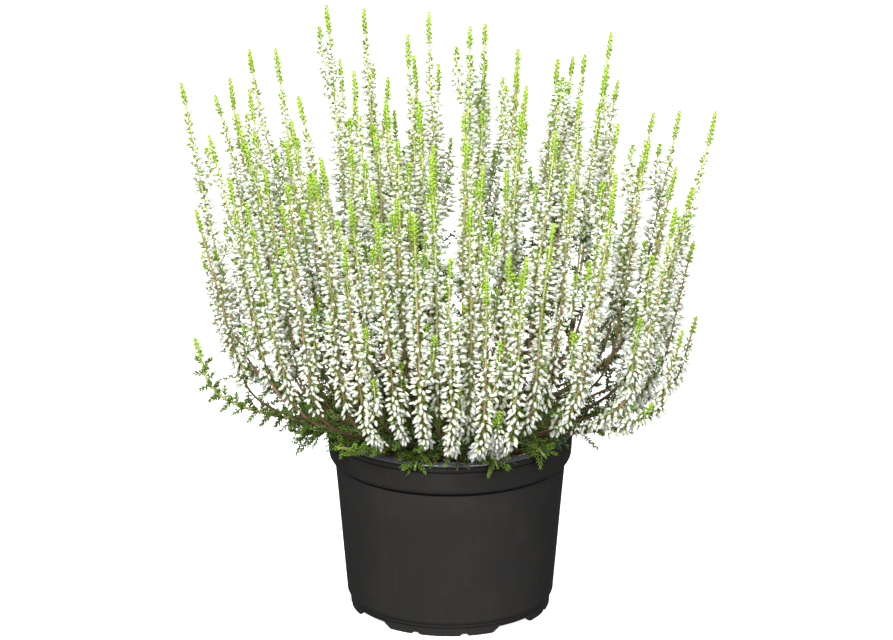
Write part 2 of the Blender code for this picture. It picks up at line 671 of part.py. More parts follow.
def make_shoots(white, green):
    """All sprays and leafy shoots. Returns the place and size of the hole where each stands."""
    tips = spread(hidden_tips(to_plan(SEEN_TIPS), np.random.default_rng(SEED)))
    sways = shoot_sways(len(tips) + len(GREEN_TIPS))
    spikes, holes = [], []
    for number, (main, sides) in enumerate(group_sprays(tips)):
        root = tips[main, :2]
        spray = []
        for tip in (main, *sides):
            path = shoot_path(tips[tip], root, sways[tip])
            stem_radius = STEM_RADIUS_BASE if tip == main else SIDE_STEM_RADIUS
            spray.append((path, spike_rings(path, tips[tip, :2], stem_radius)))
        fuse(f"flower_spray_{number + 1:02d}", [flower_spike(*spike) for spike in spray], white)
        holes.append((root * CROWN_RADIUS, HOLE_RADIUS))
        spikes += spray
    crowded = crowd(spikes)
    for number, tip in enumerate(to_plan(GREEN_TIPS)):
        sway = sways[len(tips) + number]
        shapes = clearest([green_shoot(place, sway) for place in places_near(tip)], *crowded)
        fuse(f"leafy_shoot_{number + 1:02d}", shapes, green)
        holes.append((shapes[0][0][:4, :2].mean(axis=0), LEAFY_HOLE_RADIUS))
        crowded = grown(crowded, shapes)
    for number, (azimuth, length) in enumerate(RIM_SHOOTS):
        turns = [azimuth + turn for turn in sorted(range(-12, 13, 2), key=abs)]
        shapes = clearest([rim_shoot(math.radians(turn), length * MM) for turn in turns], *crowded)
        fuse(f"rim_shoot_{number + 1:02d}", shapes, green)
        holes.append((shapes[0][0][:4, :2].mean(axis=0), LEAFY_HOLE_RADIUS))
        crowded = grown(crowded, shapes)
    return holes


def make_plant():
    """The pot, the soil and every shoot."""
    white = material("white_buds", (0.86, 0.88, 0.80), 0.6)
    green = material("green_leaves", (0.16, 0.30, 0.04), 0.6)
    holes = make_shoots(white, green)
    make_pot(material("black_plastic", (0.032, 0.031, 0.030), 0.42))
    make_soil(holes, material("peat", (0.11, 0.055, 0.03), 0.95))


def main():
    for old in list(bpy.data.objects):
        bpy.data.objects.remove(old)
    make_plant()


main()
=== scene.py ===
"""White bud heather in its nursery pot: the finished looks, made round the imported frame.

Every flower spray, leafy shoot and rim shoot of the frame is made again here on the same curves, with its
single buds and scale leaves, and so are the pot and the soil. The front of the plant looks towards -Y.
"""

import math
from collections import namedtuple

import bpy
import numpy as np
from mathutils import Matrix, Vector


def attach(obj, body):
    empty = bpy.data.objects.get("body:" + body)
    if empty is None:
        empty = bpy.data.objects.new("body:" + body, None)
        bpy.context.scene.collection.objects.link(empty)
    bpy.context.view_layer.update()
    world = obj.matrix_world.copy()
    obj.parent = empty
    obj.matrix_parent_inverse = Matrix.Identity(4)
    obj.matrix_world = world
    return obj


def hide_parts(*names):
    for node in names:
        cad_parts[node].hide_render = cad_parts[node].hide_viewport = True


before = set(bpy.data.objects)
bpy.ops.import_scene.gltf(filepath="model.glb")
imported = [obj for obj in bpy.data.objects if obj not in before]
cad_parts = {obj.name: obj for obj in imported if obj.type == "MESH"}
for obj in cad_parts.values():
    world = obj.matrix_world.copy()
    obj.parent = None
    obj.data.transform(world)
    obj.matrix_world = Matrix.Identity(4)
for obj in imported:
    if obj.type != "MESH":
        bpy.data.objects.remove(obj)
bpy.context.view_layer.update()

MM = 0.001
ROOT = "root"

# The camera, 2 m away and about 18 degrees above level
LENS = 152.0
CAMERA_PLACE = (-0.0020, -1.9030, 0.7737)
CAMERA_AIM = (-0.0020, 0.0, 0.1590)

# The studio: half the floor's width, the sky's strength, and each lamp's name, place, width and power
FLOOR_REACH = 6
SKY_STRENGTH = 0.21
LAMP_AIM = (0, 0, 0.2)
LAMPS = (
    ("key", (-0.6, -1.8, 1.3), 0.9, 60),
    ("side", (0.9, -1.7, 0.8), 0.8, 21),
    ("top", (0.1, 0.1, 1.6), 0.8, 14),
    ("back", (0.3, 1.8, 1.0), 0.9, 20),
)

# Pot: radii and heights of its moulded profile
FOOT_RADIUS = 53.8 * MM
FOOT_INNER_RADIUS = 51.6 * MM
FLOOR_UNDERSIDE = 5.0 * MM
FLOOR_TOP = 6.6 * MM
WALL_RADIUS_LOW = 55.7 * MM
WALL_RADIUS_HIGH = 61.8 * MM
GROOVE_HEIGHT = 82.3 * MM
COLLAR_RADIUS_LOW = 65.1 * MM
COLLAR_RADIUS_HIGH = 65.5 * MM
LIP_RADIUS = 66.1 * MM
LIP_UNDERSIDE = 96.8 * MM
BEAD_UNDERSIDE = 99.8 * MM
RIM_TOP = 101.9 * MM
RIM_INNER_RADIUS = 61.3 * MM
INNER_RADIUS_HIGH = 60.5 * MM
INNER_RADIUS_LOW = 54.0 * MM
FOOT_COUNT = 4
FIRST_GAP_AZIMUTH = math.radians(39)
GAP_WIDTH_BELOW = 27 * MM
GAP_WIDTH_ABOVE = 18.5 * MM
GAP_HEIGHT = 3.3 * MM
NOTCH_FROM_FOOT_CENTRE = math.radians(14)
NOTCH_WIDTH = 5.2 * MM
NOTCH_HEIGHT = 1.4 * MM
DRAIN_RADIUS = 4.5 * MM
DRAIN_RING = 34 * MM
BEAD_RADIUS = 2.1 * MM
TICK_COUNT = 45
TICK_DEPTH = 0.3 * MM
TICK_SHIFT = 0.12

POT_BLACK = (0.0262, 0.0252, 0.0244)
POT_DUST = (0.040, 0.038, 0.035)
# Painted shade: the near-black of the band under the collar and of the lines under the lip, bead and foot
# ring
POT_PAINTED_SHADE_BLACK = (0.0065, 0.006, 0.0055)
# Painted highlight: the bluish grey given to the rim's base colour
POT_RIM_PAINTED_HIGHLIGHT = (0.078, 0.082, 0.090)

# Painted shade: dark lines painted under the lip, under the bead and at the foot ring, besides the painted
# shade band
# under the collar at the groove: the height each starts from, its ends and softness above it, and how dark
POT_PAINTED_SHADE_LINES = (
    (LIP_UNDERSIDE, -0.7 * MM, -0.1 * MM, 0.2 * MM, 0.9),
    (BEAD_UNDERSIDE, -0.6 * MM, -0.2 * MM, 0.2 * MM, 0.9),
    (FLOOR_UNDERSIDE, -0.2 * MM, 0.3 * MM, 0.3 * MM, 0.63),
)

# Soil
SOIL_TOP = 92 * MM
SOIL_GAP = 0.3 * MM
ROOT_DEPTH = 14 * MM

# The plan of the plant, as in the frame's own source
CROWN_RADIUS = 22 * MM
CROWN_HEIGHT = 94 * MM
ARCH_WIDTH = 75 * MM
ARCH_HEIGHT = 23 * MM
ARCH_POWER = 1.6
LEAN = 0.2
LEAST_SPACING = 0.158
SPREAD_GIVE = (0.35, 1.0)
SPREAD_STEP = 0.4
SPREAD_ROUNDS = 120
SIGHT_SLOPE = 0.29
SEED = 11

# Tips of the spikes that show from the front: x, y and height in millimetres
SEEN_TIPS = (
    (-141, -20, 294), (-123, -55, 275), (-122, 25, 275), (-117, 60, 275), (-110, -25, 278),
    (-108, 75, 288), (-102, 5, 284), (-98, -70, 283), (-90, 35, 299), (-83, -85, 282), (-78, -50, 281),
    (-76, -15, 285), (-64, 15, 326), (-63, 60, 286), (-46, -25, 302), (-44, 55, 315), (-42, 85, 277),
    (-35, 25, 286), (-30, -60, 295), (-28, 110, 245), (-22, 5, 314), (-21, 60, 289), (-16, -35, 286),
    (-11, 35, 318), (-54, -110, 285), (-42, -90, 282), (-35, -70, 281), (-65, -125, 284),
    (-92, -100, 271), (-111, -80, 261), (-78, -115, 266), (-63, -95, 265), (-69, -135, 268),
    (-46, -125, 269), (-13, -110, 279), (-10, -130, 275), (10, 20, 314), (18, 50, 308), (34, 35, 297),
    (37, 0, 298), (39, -30, 295), (56, 10, 299), (65, 65, 287), (67, 40, 294), (87, 20, 311),
    (81, -10, 299), (89, 50, 277), (67, -45, 292), (61, 85, 259), (38, -70, 289), (43, -90, 287),
    (88, -50, 280), (104, 0, 273), (105, -35, 268), (120, 35, 265), (138, 0, 273), (115, -50, 257),
    (119, -70, 252), (5, -75, 292), (12, -95, 283), (-4, -60, 270), (18, -125, 279), (24, -100, 269),
    (55, -120, 268), (84, -90, 264), (79, -110, 263), (-128, -60, 237), (-99, -110, 252),
    (-78, -135, 249), (-62, -140, 264), (-35, -140, 265), (-55, -140, 244), (-23, -135, 240),
    (-16, -120, 253), (-5, -140, 222), (-133, -40, 162), (-56, -130, 208), (5, -135, 261),
    (40, -140, 253), (33, -130, 235), (7, -130, 217), (38, -135, 220), (29, -115, 220), (-12, -115, 218),
    (129, -40, 214), (114, -85, 245), (116, -75, 178), (126, -35, 172),
)
HIDDEN_COUNT = 13
HIDDEN_REACH = 1.14
HIDDEN_TURNS = (-0.12, 1.12)
HIDDEN_TRIALS = 400
HIDDEN_TOP = 302 * MM
HIDDEN_FALL = 42 * MM
HIDDEN_VARIATION = 46
PLANT_RADIUS = 143 * MM
GREEN_TIP_HEIGHTS = tuple(height * MM for height in (168, 130, 128, 120, 122))
RIM_SHOOT_LENGTHS = tuple(length * MM for length in (45, 35.5, 35.5, 35.5, 35.5, 38, 38))
RIM_SHOOT_CLEARANCE = 1.6 * MM
RIM_SHOOT_DROP = 12 * MM
RIM_SHOOT_DROP_REACH = 16 * MM
RIM_SHOOT_ROOT = 44 * MM
MOST_SIDES = 2
SIDE_REACH = 0.34
CLEAR_OF_STEM = 0.078
FORK_HEIGHT = 99 * MM
FORK_END = 115 * MM
SAG_PLACE = 1.08
SAG_PLACE_RANGE = 0.14
SAG = 0.1
SAG_RISE = 12 * MM
SAG_END_HEIGHT = 112 * MM
SAG_END_RISE = 45 * MM
SWAY = 0.016
SWAY_RATE = 6
SWAY_HEIGHT = 118 * MM
SWAY_RISE = 170 * MM
LOWEST_FLOWER = 110 * MM
SECOND_FLOWER = 12 * MM
INNER_FLOWER = 190 * MM
GREEN_SHOOT_LEAVES = 100 * MM

# A flower spike
STEM_RADIUS_BASE = 0.92 * MM
SIDE_STEM_RADIUS = 0.75 * MM
STEM_RADIUS_TOP = 0.42 * MM
STEM_STEP = 4.5 * MM
STEM_END_GAP = 0.5 * MM
BARK_HEIGHT = 190 * MM
BUD_PITCH = 0.72 * MM
BUD_LENGTH = 4.7 * MM
BUD_RADIUS = 1.0 * MM
BUD_STALK = (0.5 * MM, 1.9 * MM)
BUD_JITTER = 0.35 * MM
BUD_SIZE_RANGE = (0.84, 1.14)
YOUNG_BUDS_FROM = 0.7
DROOP_TOP = 190 * MM
DROOP_RISE = 75 * MM
BUD_LEAF_LENGTHS = (2.6 * MM, 3.5 * MM)
BUD_LEAF_SLIMNESS = 0.19
BUD_LEAF_FOOT = 0.4 * MM
# Painted shade on the leaves under the buds: darkest below this height, lighter over the rise above it
BUD_LEAF_SHADE_TOP = 110 * MM
BUD_LEAF_SHADE_FADE = 150 * MM
WHISKER_SPACING = 2.4 * MM
WHISKER_LENGTH = (3.6 * MM, 5.8 * MM)
WHISKER_RADIUS = 0.085 * MM
WHISKERS_BELOW_TIP = 38 * MM
TIP_LENGTH = (11 * MM, 21 * MM)
TIP_NECK = 9 * MM
SPRIG_LENGTH = (24 * MM, 44 * MM)
SPRIG_SPACING = 38 * MM
SPRIG_START = (2 * MM, 24 * MM)
SPRIG_TOP_CLEARANCE = 30 * MM
SPRIG_OFFSET = 8.5 * MM
SPRIG_TIP = (4 * MM, 9 * MM)
SPRIG_RADII = (0.55 * MM, 0.3 * MM)
MOST_OUTWARD_SPRIG = 27 * MM

# Leafy twiglets low in the plant and on the lowest shoot, which has no buds
LEAF_FOOT = 0.2 * MM
LEAF_SIZE_RANGE = (0.84, 1.16)
LEAF_TURN_SCATTER = 0.16
LEAF_ANGLE_SCATTER = 0.08
LEAF_TINT_SCATTER = 0.05
TWIGLET_RADII = (0.38 * MM, 0.2 * MM)
INNER_TWIGLET_SPACING = 6 * MM
INNER_TWIGLET_LENGTH = (8 * MM, 12.5 * MM)
INNER_TWIGLET_TURN = 2.4
# Where the painted shade on the inner twiglets' leaves fades: they are paler farther out
PALER_FROM = 45 * MM
PALER_RISE = 40 * MM
HANGING_FROM = 66 * MM
HANGING_RISE = 14 * MM
LOWEST_TWIGLET = SOIL_TOP + 8 * MM
TWIGLETS_PAST_BUDS = 14 * MM
BARE_AT_LEFT = 20 * MM
LEAFY_SPIKE_HEIGHT = 170 * MM
LEAFY_SPIKE_BELOW_BUDS = 20 * MM
TUFT_SPACING = 1.9 * MM
TUFT_LENGTH = (5 * MM, 7.5 * MM)

# Leafy shoots, rim shoots and the twigs that stand in the soil inside the rim
SHOOT_TWIG_SPACING = 4.5 * MM
SHOOT_TWIG_LENGTH = 13 * MM
FAN_START = LIP_RADIUS - 13 * MM
FAN_SPACING = 1.5 * MM
FAN_LENGTH = 14 * MM
RIM_SHOOT_RADII = (0.8 * MM, 0.4 * MM)
FRONT_TWIG_AZIMUTHS = (
    *np.linspace(-104, -76, 19),
    *(-62, -46, -32, 4, 14, 24, 33, 42),
    *np.linspace(84, 98, 4),
)
BACK_TWIG_AZIMUTHS = np.linspace(104, 256, 15)
RIM_TWIG_ROOT = (20 * MM, 32 * MM)
RIM_TWIG_END = (40 * MM, 50 * MM)
RIM_TWIG_FARTHER_AT_FLANKS = (20 * MM, 26 * MM)
RIM_TWIG_FARTHER_AT_LEFT = (4 * MM, 18 * MM)
RIM_TWIG_DROP_AT_LEFT = (2 * MM, 16 * MM)
RIM_TWIG_HEIGHT = (104 * MM, 113 * MM)
RIM_TWIG_DEPTH = 6 * MM
RIM_TWIG_RADII = (0.7 * MM, 0.4 * MM)
RIM_TWIGLET_SPACING = 3.4 * MM
RIM_TWIGLET_LENGTH = (6 * MM, 10 * MM)

# Finishes of a plant piece, in the order of their material slots
PETAL, LEAF, BARK = range(3)


class Wire:
    """A node's output that can be added, subtracted, multiplied and divided in Python."""

    def __init__(self, finish, socket):
        self.finish = finish
        self.socket = socket

    def maths(self, operation, first, second):
        """One sum, difference or product as a node."""
        return self.finish.node("ShaderNodeMath", {"operation": operation}, {0: first, 1: second})

    def __add__(self, other):
        return self.maths("ADD", self, other)

    def __radd__(self, other):
        return self.maths("ADD", other, self)

    def __sub__(self, other):
        return self.maths("SUBTRACT", self, other)

    def __rsub__(self, other):
        return self.maths("SUBTRACT", other, self)

    def __mul__(self, other):
        return self.maths("MULTIPLY", self, other)

    def __rmul__(self, other):
        return self.maths("MULTIPLY", other, self)


class Finish:
    """A material while it is written. Its own sockets are set by name, and node() adds any other node."""

    def __init__(self, name, **constants):
        self.material = bpy.data.materials.new(name)
        self.material.use_nodes = True
        self.tree = self.material.node_tree
        self.shader = self.tree.nodes["Principled BSDF"]
        for socket, value in constants.items():
            self.set(socket.replace("_", " "), value)

    def set(self, name, value):
        """Sets or links one of the shader's own sockets."""
        self.join(self.shader.inputs[name], value)

    def join(self, socket, value):
        """Links a wire to a socket, or sets the socket to a number or colour."""
        if isinstance(value, Wire):
            self.tree.links.new(value.socket, socket)
        elif hasattr(value, "__len__") and len(value) == 3 and len(socket.default_value) == 4:
            socket.default_value = (*value, 1)
        else:
            socket.default_value = value

    def node(self, kind, settings=None, sockets=None, output=0):
        """Adds a node, sets what it is told to, then its sockets, and returns one of its outputs."""
        made = self.tree.nodes.new(kind)
        for name, value in (settings or {}).items():
            if name == "stops":
                self.fill_ramp(made.color_ramp, value)
            else:
                setattr(made, name, value)
        for name, value in (sockets or {}).items():
            self.join(made.inputs[name], value)
        return Wire(self, made.outputs[output])

    def fill_ramp(self, ramp, stops):
        """Gives a new ramp its (position, colour) stops."""
        for index, (position, colour) in enumerate(stops):
            stop = ramp.elements[index] if index < 2 else ramp.elements.new(position)
            stop.position = position
            stop.color = (*colour, 1)

    def ramp(self, factor, *stops):
        """A colour picked by a number from (position, colour) stops."""
        return self.node("ShaderNodeValToRGB", {"stops": stops}, {"Fac": factor})

    def mixed(self, factor, first, second, blend="MIX"):
        """A colour between two others, or their product."""
        settings = {"data_type": "RGBA", "blend_type": blend}
        return self.node("ShaderNodeMix", settings, {0: factor, 6: first, 7: second}, 2)

    def step(self, value, low, high):
        """0 below low and 1 above high, with a smooth rise between."""
        settings = {"interpolation_type": "SMOOTHSTEP"}
        return self.node("ShaderNodeMapRange", settings, {"Value": value, "From Min": low, "From Max": high})

    def band(self, value, low, high, soft):
        """1 between low and high and 0 outside, with a smooth rise and fall."""
        return self.step(value, low - soft, low) * (1 - self.step(value, high, high + soft))

    def noise(self, vector, scale, detail, roughness):
        """A soft random pattern."""
        sockets = {"Vector": vector, "Scale": scale, "Detail": detail, "Roughness": roughness}
        return self.node("ShaderNodeTexNoise", None, sockets)

    def bump(self, height, strength, distance):
        """Gives the surface a fine relief."""
        sockets = {"Height": height, "Strength": strength, "Distance": distance}
        self.set("Normal", self.node("ShaderNodeBump", None, sockets))

    def tone(self):
        """The two numbers of the piece's tone map: along a bud or leaf, and its tint."""
        place = self.node("ShaderNodeUVMap", {"uv_map": "tone"})
        along = self.node("ShaderNodeSeparateXYZ", None, {0: place})
        return along, self.node("ShaderNodeSeparateXYZ", None, {0: place}, 1)

    def place(self):
        """The place in the object, in metres."""
        return self.node("ShaderNodeTexCoord", None, None, "Object")

    def stretched(self, place, scale):
        """A place with each of its directions scaled."""
        return self.node("ShaderNodeMapping", None, {"Vector": place, "Scale": scale})


def petal_finish():
    """White bud petals: green where they leave the stalk, then white, with a faint green cast on some."""
    finish = Finish("white_bud_petals", Roughness=0.55, Subsurface_Weight=0.12, Subsurface_Scale=0.001)
    along, tint = finish.tone()
    white = finish.ramp(tint, (0, (0.78, 0.82, 0.66)), (0.5, (0.90, 0.92, 0.83)), (1, (0.96, 0.96, 0.92)))
    green = (0, (0.16, 0.27, 0.04)), (0.19, (0.24, 0.36, 0.07)), (0.36, (0.62, 0.70, 0.42))
    colour = finish.ramp(along + 0.10 * tint, *green, (0.50, (1, 1, 1)))
    finish.set("Base Color", finish.mixed(1.0, colour, white, "MULTIPLY"))
    finish.set("Roughness", 0.62 - 0.2 * along)
    return finish.material


def leaf_finish():
    """Scale leaves: near-black green, a painted shade, for leaves deep in the plant, fresh green outside,
    lime at the tips, with pale ends.
    """
    finish = Finish("scale_leaves", Roughness=0.5, Subsurface_Weight=0.08, Subsurface_Scale=0.001)
    along, tint = finish.tone()
    # The lowest tints are painted shade: near-black greens for leaves inside the plant
    dark = (0, (0.016, 0.036, 0.006)), (0.3, (0.045, 0.100, 0.011)), (0.6, (0.13, 0.27, 0.018))
    lime = (0.85, (0.28, 0.50, 0.022)), (1, (0.40, 0.62, 0.035))
    colour = finish.ramp(tint, *dark, *lime)
    pale = finish.mixed(finish.step(along, 0.45, 1.0) * 0.28, colour, (0.55, 0.74, 0.12))
    finish.set("Base Color", pale)
    finish.set("Roughness", 0.42 + 0.2 * along)
    return finish.material


def bark_finish():
    """Stems: reddish brown low down, tan higher up, yellow-green near the tip, with fine streaks."""
    finish = Finish("heather_stem", Roughness=0.6)
    round_it, height = finish.tone()
    place = finish.node("ShaderNodeCombineXYZ", None, {0: round_it * 3.0, 1: height * 60.0})
    streak = finish.noise(place, 4.0, 3.0, 0.6)
    old = (0, (0.08, 0.042, 0.022)), (0.12, (0.20, 0.11, 0.062)), (0.28, (0.46, 0.27, 0.155))
    young = (0.50, (0.58, 0.46, 0.22)), (0.72, (0.70, 0.68, 0.27)), (1, (0.55, 0.68, 0.16))
    colour = finish.ramp(height + 0.10 * (streak - 0.5), *old, *young)
    finish.set("Base Color", finish.mixed(finish.step(streak, 0.5, 0.75) * 0.4, colour, (0.50, 0.42, 0.26)))
    finish.bump(streak, 0.25, 0.0002)
    return finish.material


def pot_finish():
    """Black moulded plastic: satin with a fine grain and faint dust. Painted shade darkens the groove under
    the collar and thin lines under the lip, the bead and at the foot ring, and a painted highlight makes the
    glossier rim greyer.
    """
    finish = Finish("moulded_black_plastic", Specular_IOR_Level=0.04, Coat_Roughness=0.18)
    place = finish.place()
    height = finish.node("ShaderNodeSeparateXYZ", None, {0: place}, 2)
    grain = finish.noise(place, 2600.0, 2.0, 0.6)
    cloud = finish.noise(place, 38.0, 4.0, 0.6)
    streak = finish.noise(finish.stretched(place, (260.0, 260.0, 9.0)), 1.0, 3.0, 0.6)
    rim = finish.step(height, BEAD_UNDERSIDE - 0.1 * MM, BEAD_UNDERSIDE + 0.3 * MM)
    dust = finish.step(cloud + 0.35 * streak, 0.62, 0.95)
    # Painted shade: a dark band under the collar's overhang at the groove, and dark lines under the lip,
    # under the bead and at the foot ring
    painted_shade = finish.band(height, GROOVE_HEIGHT, GROOVE_HEIGHT + 1.5 * MM, 0.7 * MM)
    for base, low, high, soft, depth in POT_PAINTED_SHADE_LINES:
        painted_shade = painted_shade + depth * finish.band(height, base + low, base + high, soft)
    colour = finish.mixed(dust * 0.35, POT_BLACK, POT_DUST)
    colour = finish.mixed(painted_shade, colour, POT_PAINTED_SHADE_BLACK)
    # Painted highlight: the rim's base colour turns grey; its coat and lower roughness below are real gloss
    finish.set("Base Color", finish.mixed(rim * 0.8, colour, POT_RIM_PAINTED_HIGHLIGHT))
    finish.set("Roughness", 0.46 + 0.10 * cloud + 0.05 * streak - 0.20 * rim)
    finish.set("Coat Weight", rim)
    finish.bump(grain * (1 - 0.8 * rim) + 0.25 * streak, 0.16, 0.0002)
    return finish.material


def peat_finish():
    """Damp peat: red-brown, mottled from nearly black to tan, with a coarse fibrous surface."""
    finish = Finish("damp_peat", Roughness=0.9)
    place = finish.place()
    crumbs = finish.noise(place, 420.0, 5.0, 0.65)
    patches = finish.noise(place, 90.0, 3.0, 0.5)
    wet = (0.30, (0.035, 0.015, 0.009)), (0.45, (0.15, 0.062, 0.036))
    dry = (0.58, (0.27, 0.125, 0.07)), (0.72, (0.42, 0.23, 0.13))
    finish.set("Base Color", finish.ramp(crumbs * 0.7 + patches * 0.3, *wet, *dry))
    finish.set("Roughness", 0.95 - 0.2 * crumbs)
    finish.bump(crumbs, 0.7, 0.0012)
    return finish.material


def floor_finish():
    """A plain white studio floor that glows a little, and more the farther it is from the lamps."""
    finish = Finish("studio_floor", Base_Color=(0.92, 0.92, 0.92), Roughness=0.9, Specular_IOR_Level=0.0)
    place = finish.place()
    away = finish.node("ShaderNodeVectorMath", {"operation": "LENGTH"}, {0: place}, "Value")
    glow = finish.step(away, 0.25, 1.6)
    finish.set("Emission Color", finish.mixed(glow, (0.80, 0.80, 0.80), (1, 1, 1)))
    finish.set("Emission Strength", 1.0)
    return finish.material


def eased(t):
    """Rises smoothly from 0 at t = 0 to 1 at t = 1."""
    t = np.clip(t, 0, 1)
    return t * t * (3 - 2 * t)


def between(ends, part):
    """A value this part of the way from the first end to the second."""
    return ends[0] + (ends[1] - ends[0]) * part


def unit(vectors):
    """Vectors made 1 long."""
    return vectors / np.maximum(np.linalg.norm(vectors, axis=-1, keepdims=True), 1e-12)


def crossways(along):
    """Two directions across each of these directions along a stem, the first one level at its start."""
    level = np.array([-along[0, 1], along[0, 0], 0.0]) + 1e-6
    first = unit(level - along * (along @ level)[:, None])
    return first, np.cross(along, first)


def spokes(first, second, turns):
    """Directions straight out from a stem at these turns round it: cos turn first + sin turn second."""
    turns = np.asarray(turns)[..., None]
    return np.cos(turns) * first + np.sin(turns) * second


def pole_to_pole_faces(rings, sides):
    """Triangles of a closed surface whose points are a pole, so many rings of so many points, and a pole."""
    side = np.arange(sides)
    after = (side + 1) % sides
    low = (1 + np.arange(rings - 1) * sides)[:, None]
    a, b = low + side, low + after
    c, d = b + sides, a + sides
    bands = np.concatenate([np.stack([a, b, c], axis=-1), np.stack([a, c, d], axis=-1)]).reshape(-1, 3)
    last = 1 + rings * sides
    start = np.column_stack([side * 0, 1 + after, 1 + side])
    end = np.column_stack([last - sides + side, last - sides + after, side * 0 + last])
    return np.concatenate([bands, start, end])


def closed_form(profile, sides, flatness=1.0):
    """A closed form turned round its axis: a pole, one ring for each (along, radius) of the profile but the
    first and last, and a pole. Returns points, triangles and how far along each point is. `flatness` presses
    it thinner in one direction."""
    profile = np.array(profile, float)
    turn = 2 * math.pi * np.arange(sides) / sides
    inner = profile[1:-1]
    x = inner[:, 1:] * np.cos(turn)
    y = inner[:, 1:] * np.sin(turn) * flatness
    z = np.repeat(inner[:, :1], sides, axis=1)
    rings = np.stack([x, y, z], axis=-1).reshape(-1, 3)
    points = np.concatenate([[[0, 0, profile[0, 0]]], rings, [[0, 0, profile[-1, 0]]]])
    return points, pole_to_pole_faces(len(inner), sides), np.clip(points[:, 2], 0, 1)


BUD_FORM = closed_form([(0, 0), (0.34, 1.02), (0.74, 0.76), (1, 0)], 4)
LEAF_FORM = closed_form([(0, 0), (0.35, 1.0), (1, 0)], 4, 0.5)
SCALE_FORM = closed_form([(0, 0), (0.55, 1.0), (1, 0)], 4, 0.75)
NEEDLE_FORM = closed_form([(0, 0), (0.3, 1.0), (1, 0)], 3, 0.8)
CRUMB_FORM = closed_form([(-0.5, 0), (-0.2, 0.5), (0.25, 0.45), (0.5, 0)], 4)

# Kinds of leaf: pitch up the stem, length, radius over length, angles off it at its start and end, form
Leaves = namedtuple("Leaves", "pitch size plump angles form")
TWIG_ANGLES = (1.05, 0.45)
INNER_LEAVES = Leaves(1.35 * MM, 2.6 * MM, 0.27, TWIG_ANGLES, NEEDLE_FORM)
TUFT_LEAVES = Leaves(0.9 * MM, 2.8 * MM, 0.28, TWIG_ANGLES, NEEDLE_FORM)
FEATHER_LEAVES = Leaves(0.95 * MM, 2.4 * MM, 0.24, TWIG_ANGLES, LEAF_FORM)
RIM_TWIGLET_LEAVES = Leaves(1.1 * MM, 2.3 * MM, 0.27, TWIG_ANGLES, NEEDLE_FORM)
RIM_TWIG_LEAVES = Leaves(1.3 * MM, 2.4 * MM, 0.27, (0.9, 0.4), NEEDLE_FORM)
LOWEST_SHOOT_LEAVES = Leaves(1.5 * MM, 2.6 * MM, 0.24, (0.9, 0.7), NEEDLE_FORM)
SHOOT_LEAVES = Leaves(0.9 * MM, 2.4 * MM, 0.24, (0.8, 0.3), LEAF_FORM)
RIM_SHOOT_LEAVES = Leaves(0.9 * MM, 2.2 * MM, 0.24, (0.8, 0.3), LEAF_FORM)
NECK_LEAVES = Leaves(2.1 * MM, 2.6 * MM, 0.2, (0.95, 0.75), NEEDLE_FORM)
TIP_LEAVES = Leaves(1.1 * MM, 2.75 * MM, 0.36, (0.95, 0.5), SCALE_FORM)
TIP_HEART_LEAVES = Leaves(1.5 * MM, 2.0 * MM, 0.42, (0.5, 0.2), SCALE_FORM)

# What lies loose on the soil: form, count, length in millimetres and radius over length
CRUMBS = (CRUMB_FORM, 1000, 2.2, 0.8)
FIBRES = (NEEDLE_FORM, 500, 6.0, 0.035)


def bent_hair():
    """A hair's form: a thin needle that first rises and then bends down, by a share of its radius."""
    points, faces, along = closed_form([(0, 0), (0.3, 1.0), (0.7, 0.7), (1, 0)], 3)
    points[:, 1] += 22 * (along - 1.6 * along**2)
    return points, faces, along


HAIR_FORM = bent_hair()


